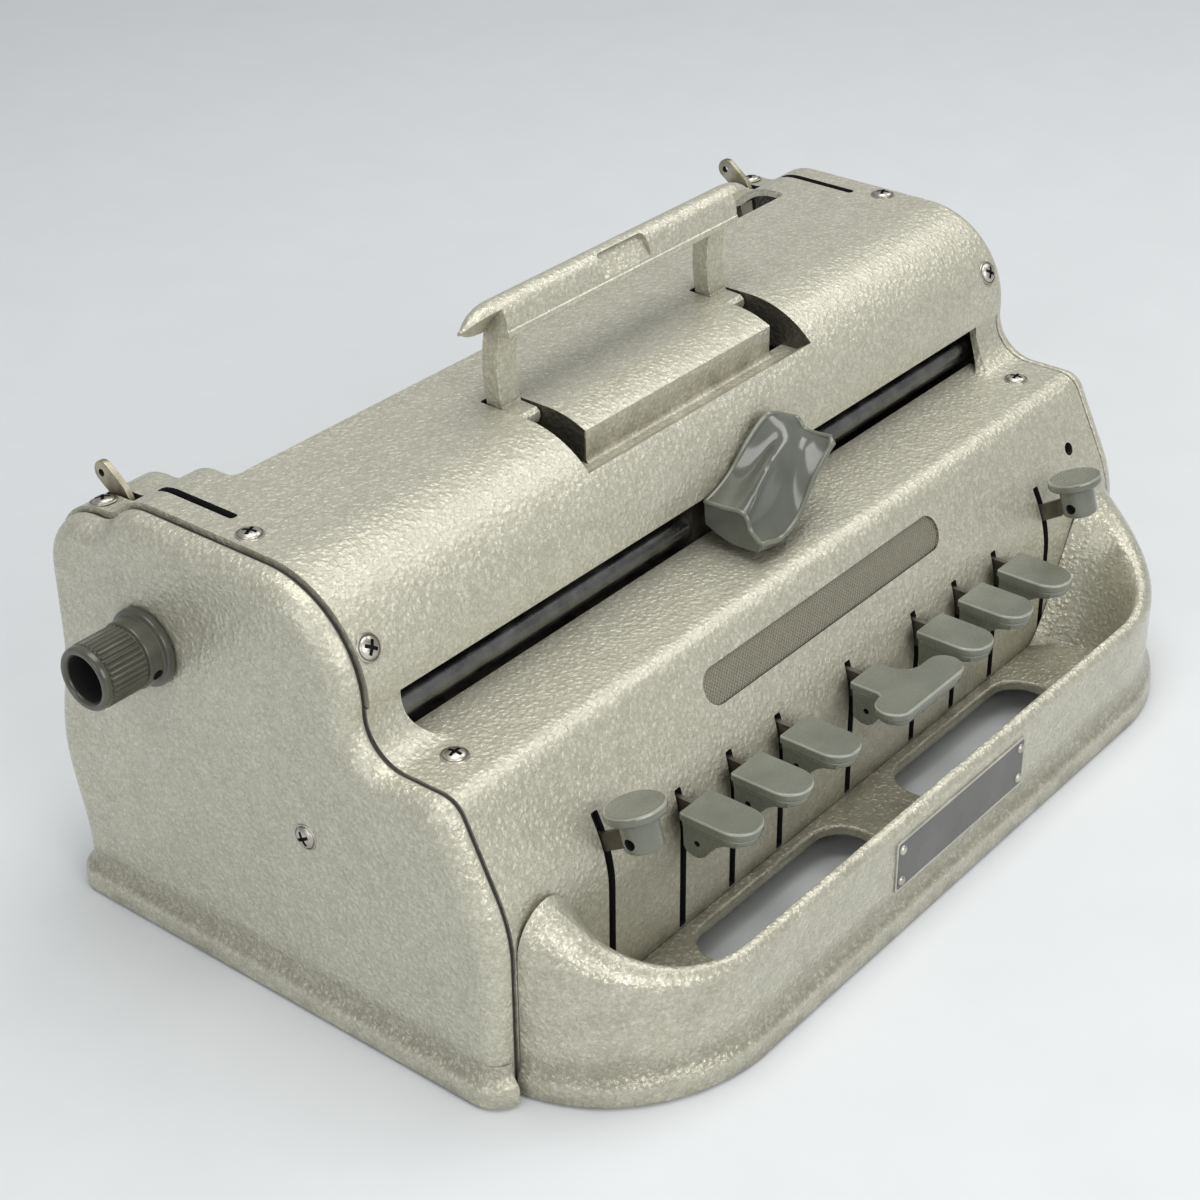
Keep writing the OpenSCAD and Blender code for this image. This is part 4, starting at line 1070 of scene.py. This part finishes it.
def carriage_lever():
    """The finger pad, hollowed on top, with the block that carries it and a thin rim round its face."""
    x0, width, across, top_steps, low_steps = -14, 44, 44, 24, 8

    def place(i, j):
        s = i / across
        j = j % (top_steps + low_steps + 2)
        if j <= top_steps:
            rear, ridge, front = flow(pad_rear, s), flow(pad_ridge, s), flow(pad_front, s)
            drawn_in = 0.2 * max(0.0, (s - 0.88) / 0.12) ** 2
            rear = tuple(a + (b - a) * drawn_in for a, b in zip(rear, ridge))
            front = tuple(a + (b - a) * drawn_in for a, b in zip(front, ridge))
            top = [rear, between(rear, ridge, flow(pad_scoop, s)), ridge,
                   between(ridge, front, flow(pad_hollow, s)), front]
            y, z = flow(top, j / top_steps)
        else:
            low = [flow(pad_low_front, s), flow(pad_low_mid, s), flow(pad_low_rear, s)]
            y, z = flow(low, (j - top_steps - 1) / low_steps)
        return at(x0 + width * s, y, z)

    bm = bmesh.new()
    lay(bm, across, top_steps + low_steps + 2, place)
    close_up(bm)
    soften(bm, 0.6, 2, 50)
    rim = [place(0, j) for j in range(top_steps)]
    rim += [place(i, top_steps) for i in range(across)]
    rim += [place(across, j) for j in range(top_steps, 0, -1)]
    rim += [place(i, 0) for i in range(across, 0, -1)]
    middle = sum(rim, Vector()) / len(rim)
    rim = [point + (middle - point).normalized() * 0.0007 for point in rim]
    span(bm, -6, 26, [(-28, 98.8), (-16.4, 98.8), (-16.4, 105.8), (-28, 105.8)])
    lever = solid("carriage_lever_pad", bm, PAD_PLASTIC)
    dress(lever, "lever_pad", "grey_plastic", "carriage_lever")
    bm = bmesh.new()
    bead(bm, rim, 0.85)
    return dress(solid("carriage_lever_rim", bm, PLASTIC), "lever_pad", "grey_plastic")


# ---------- keys ----------

def cap_plan(inset):
    """A dot key's cap from above: straight rear, round nose."""
    half = cap_half - inset
    corner = 0.9
    rear = key_rear - inset * 0.4 - corner
    nose = arc(0, -85.2, half, 0, -180, 20)
    return (nose + arc(-half + corner, rear, corner, 180, 90, 3)
            + arc(half - corner, rear, corner, 90, 0, 3))


def space_plan(inset):
    """The space key's cap from above: a stem and a bar that stands out further to the right."""
    stem = cap_half - inset
    rear = key_rear - inset * 0.4
    back = -81.4 - inset
    end_r = 6.2
    points = arc(stem - 0.9, rear - 0.9, 0.9, 90, 0, 3)
    points += arc(stem + 7, back + 7, 7, 180, 270, 8)
    points += arc(25 - inset - end_r, back - end_r + inset, end_r - inset, 90, -90, 12)
    points += arc(-16 + inset + end_r, back - end_r + inset, end_r - inset, 270, 115, 12)
    points += arc(-stem - 1.8, back + 1.8, 1.8, 290, 360, 4)
    points += arc(-stem + 0.9, rear - 0.9, 0.9, 180, 90, 3)
    return points


def lighten_rims(shape, low, high):
    """Gives the second finish, lighter for wear and a painted highlight, to the faces whose upward share lies
    between two values.
    """
    for face in shape.data.polygons:
        if low < face.normal.z < high:
            face.material_index = 1


def cap_core():
    """The body below a cap that holds its lever, narrower towards its foot."""
    under = [(-69.7, 4), (-69.7, 13.2), (-70.6, 14.6), (-73, 15.6), (-75.4, 15.6), (-77.2, 14.4), (-79, 11.8),
             (-81.4, 9), (-84.4, 6.9), (-89.5, 5.3), (-89.5, 4)]
    bm = bmesh.new()
    for corner in span(bm, -6.2, 6.2, [(y, key_z - down) for y, down in under]):
        corner.co.x *= 1 - 0.14 * (key_z - 4 - corner.co.z * 1000) / 12
    soften(bm, 0.7, 2, 50)
    return carve(solid("cap_core", bm, PLASTIC), rod_cutter(cap_screw_y, key_z - 10, 2, -8, 8))


def cap_plate(plan, inset, low, high, rounding, steps):
    bm = bmesh.new()
    push(bm, [at(x, y, key_z - low) for x, y in plan(inset)], at(0, 0, low - high))
    soften(bm, rounding, steps, 60)
    return bm


def lever_cap(name, plan):
    """A plate with a rounded rim, a plate below it set back a little, and the body that holds the lever."""
    bm = cap_plate(plan, 0, 3.1, 0, 0.75, 3)
    skirt = cap_plate(plan, 0.8, 5.2, 3, 0.6, 2)
    mesh = bpy.data.meshes.new("cap_skirt")
    skirt.to_mesh(mesh)
    skirt.free()
    bm.from_mesh(mesh)
    bpy.data.meshes.remove(mesh)
    cap = solid(name, bm, PLASTIC, WORN_HIGHLIT_PLASTIC)
    lighten_rims(cap, 0.2, 0.93)
    # the core's second finish is the painted-shade black of its screw hole, which is the cap's third
    core = cap_core()
    bm = bmesh.new()
    bm.from_mesh(cap.data)
    fresh = len(bm.faces)
    bm.from_mesh(core.data)
    bm.faces.ensure_lookup_table()
    for face in bm.faces[fresh:]:
        if face.material_index == 1:
            face.material_index = 2
    bm.to_mesh(cap.data)
    bm.free()
    cap.data.materials.append(INSIDE_SHADE)
    bpy.data.objects.remove(core)
    return cap


def lever_caps():
    """Six dot keys, numbered outwards on the left and then on the right, and the space key."""
    pattern = lever_cap("cap_pattern", cap_plan)
    for number, x in enumerate(tuple(-x for x in dot_x) + dot_x, 1):
        mesh = pattern.data.copy()
        mesh.transform(Matrix.Translation(at(x, 0, 0)))
        cap = bpy.data.objects.new("dot%d_key_cap" % number, mesh)
        bpy.context.collection.objects.link(cap)
        dress(cap, "dot%d_key" % number, "grey_plastic", "dot%d_cap" % number)
    bpy.data.objects.remove(pattern)
    space = lever_cap("space_key_cap", space_plan)
    dress(space, "space_key", "grey_plastic", "space_cap")


def round_caps():
    """Two round caps that lean back over a hub, with a screw hole and the slot for the lever."""
    tilt = radians(round_tilt)
    for side, body, node in ((-1, "line_space_key", "line_space_cap"), (1, "backspace_key", "backspace_cap")):
        bm = bmesh.new()
        turn(bm, [(0, -0.15), (7.7, -0.12), (8.35, 0), (8.8, -0.12), (9.1, -0.45), (9.25, -0.95),
                  (9.25, -2.3), (9.05, -2.75), (8.75, -3.1), (8.2, -3.4), (6.5, -3.45), (6.05, -3.7),
                  (5.95, -4.3), (5.85, -12.4), (5.6, -13.1), (5.0, -13.5), (4.2, -13.6),
                  (0, -13.6)], at(side * round_x, *round_top), (0, sin(tilt), cos(tilt)), 72)
        cap = solid(body + "_cap", bm, PLASTIC, WORN_HIGHLIT_PLASTIC)
        lighten_rims(cap, 0.45, 0.88)
        x = side * round_x
        carve(cap, rod_cutter(*round_screw, 3.6, x - 12, x - 3.2),
              box_cutter(x - 1.1, x + 1.1, -78.6, -60, 57, 73.5))
        dress(cap, body, "grey_plastic", node)


# ---------- knobs and paper release levers ----------

def knob(side):
    """Flange, smooth neck, ribbed grip and hollow end, laid round the shaft."""
    x0 = face_x + 0.5
    reach = tip_x - x0
    ribs, steps = 36, 6
    rib = (0, 0.06, 0.5, 0.68, 0.68, 0.5)
    profile = [(0, 1.0, 0), (4.3, 1.0, 0), (4.3, 0, 0), (11.6, 0, 0), (12.1, 0.2, 0), (12.3, 0.7, 0),
               (12.3, 1.9, 0), (12.1, 2.4, 0), (11.6, 2.65, 0), (10.95, 2.75, 0), (10.65, 3.2, 0),
               (10.6, 7.2, 0), (10.45, 7.6, 0), (9.9, 7.9, 0), (9.55, 8.0, 0), (9.5, 8.25, 0),
               (9.5, 8.5, 1), (9.45, reach - 3.3, 1), (9.45, reach - 2.95, 0), (9.6, reach - 2.75, 0),
               (9.95, reach - 2.3, 0), (10, reach - 1.4, 0), (9.8, reach - 0.6, 0), (9.3, reach - 0.1, 0),
               (8.7, reach, 0), (8.0, reach - 0.1, 0), (7.5, reach - 0.6, 0), (7.3, reach - 1.3, 0),
               (7.2, reach - 12.8, 0), (0, reach - 12.8, 0)]

    def place(i, j):
        r, along, ribbed = profile[i]
        r += ribbed * rib[j % steps]
        angle = 2 * pi * j / (ribs * steps)
        return at(side * (x0 + along), shaft_y + r * cos(angle), shaft_z + r * sin(angle))

    bm = bmesh.new()
    lay(bm, len(profile) - 1, ribs * steps, place)
    shape = solid(hand(side) + "_paper_knob", bm, KNOB_PLASTIC, INSIDE_SHADE)
    # the bore of the hollow end is painted black as shade
    bore_r, bore_end = 7.35, x0 + reach - 13.6
    for face in shape.data.polygons:
        x, y, z = face.center * 1000
        if sqrt((y - shaft_y) ** 2 + (z - shaft_z) ** 2) < bore_r and side * x > bore_end:
            face.material_index = 1
    bm = bmesh.new()
    away = Vector((0, -sin(radians(110)), cos(radians(110))))
    turn(bm, [(0, 7), (1.8, 7), (1.8, 15), (0, 15)], at(side * (x0 + 5.2), shaft_y, shaft_z), away, 24)
    carve(shape, solid("cutter", bm, INSIDE_SHADE))
    return dress(shape, "feed", "grey_plastic", hand(side) + "_knob")


def release_lever(side):
    """A bent plate with a round eye, on a hub inside the hump."""
    bm = bmesh.new()
    plan = [(83.4, 118), (84.2, 126), (85.5, 134.4), (88.4, 139.2)]
    plan += arc(97.4, 141.6, 3.6, 122, -58, 14) + [(93.6, 134.4), (91.2, 130.6), (89.4, 124), (88.6, 118)]
    push(bm, [at(side * (release_x - 1.1), y, z) for y, z in plan], at(side * 2.2, 0, 0))
    soften(bm, 0.35, 2, 60)
    lever = solid(hand(side) + "_release_plate", bm, TARNISH)
    carve(lever, rod_cutter(97.8, 141.4, 2.4, side * release_x - 5, side * release_x + 5))
    body = hand(side) + "_release"
    dress(lever, body, "nickel", body + "_lever")
    bm = bmesh.new()
    turn(bm, [(2.56, -1.7), (5.3, -1.7), (5.5, -1.5), (5.5, 1.5), (5.3, 1.7), (2.56, 1.7), (2.56, -1.7)],
         at(side * release_x, release_y, release_z), (1, 0, 0), 40)
    return dress(solid(body + "_hub", bm, TARNISH), body, "nickel")


front_cover()
slot_floor()
top_cover()
handle_tub()
slot_shade_liners()
rear_cover()
end_cover(-1)
end_cover(1)
palm_rail()
rail_floor()
label_plate()
label_pins()
cover_screws()
carry_handle()
handle_legs()
carriage_lever()
lever_caps()
round_caps()
for side in (-1, 1):
    knob(side)
    release_lever(side)

# ---------- floor and light ----------

table = bpy.data.materials.new("pale_table")
table.use_nodes = True
tree = table.node_tree
shader = tree.nodes["Principled BSDF"]
shader.inputs["Roughness"].default_value = 0.8
place = here(tree)
cloud = noise(tree, place, 30.0, 3.0)
tone = blend(tree, cloud, (0.66, 0.68, 0.69), (0.7, 0.72, 0.73))
tree.links.new(tone, shader.inputs["Base Color"])

bm = bmesh.new()
bmesh.ops.create_grid(bm, x_segments=1, y_segments=1, size=4.0)
mesh = bpy.data.meshes.new("table_top")
bm.to_mesh(mesh)
bm.free()
mesh.materials.append(table)
floor = placed("table_top", mesh)

world = bpy.data.worlds.new("studio")
bpy.context.scene.world = world
world.use_nodes = True
world.node_tree.nodes["Background"].inputs["Color"].default_value = (0.93, 0.96, 1.0, 1)
world.node_tree.nodes["Background"].inputs["Strength"].default_value = 0.4


def softbox(name, place, target, size, power, colour=(1, 1, 1)):
    light = bpy.data.lights.new(name, "AREA")
    light.shape = "RECTANGLE"
    light.size, light.size_y = size
    light.energy = power
    light.color = colour
    lamp = placed(name, light)
    lamp.matrix_world = (Matrix.Translation(place)
                         @ (Vector(target) - Vector(place)).to_track_quat("-Z", "Y").to_matrix().to_4x4())


softbox("overhead_softbox", (0.0, 0.0, 1.3), (0, 0, 0.08), (1.1, 0.7), 8.8, (1.0, 0.99, 0.97))
softbox("front_softbox", (-0.35, -1.3, 0.8), (0, 0, 0.04), (1.1, 0.8), 10.0, (1.0, 0.99, 0.97))
softbox("left_softbox", (-1.5, -0.2, 0.8), (0, 0, 0.06), (0.8, 0.8), 4.8)
softbox("right_softbox", (1.1, -0.3, 1.2), (0, 0, 0.1), (0.9, 0.45), 4.6, (1.0, 0.99, 0.97))

bpy.context.scene.view_settings.view_transform = "Standard"
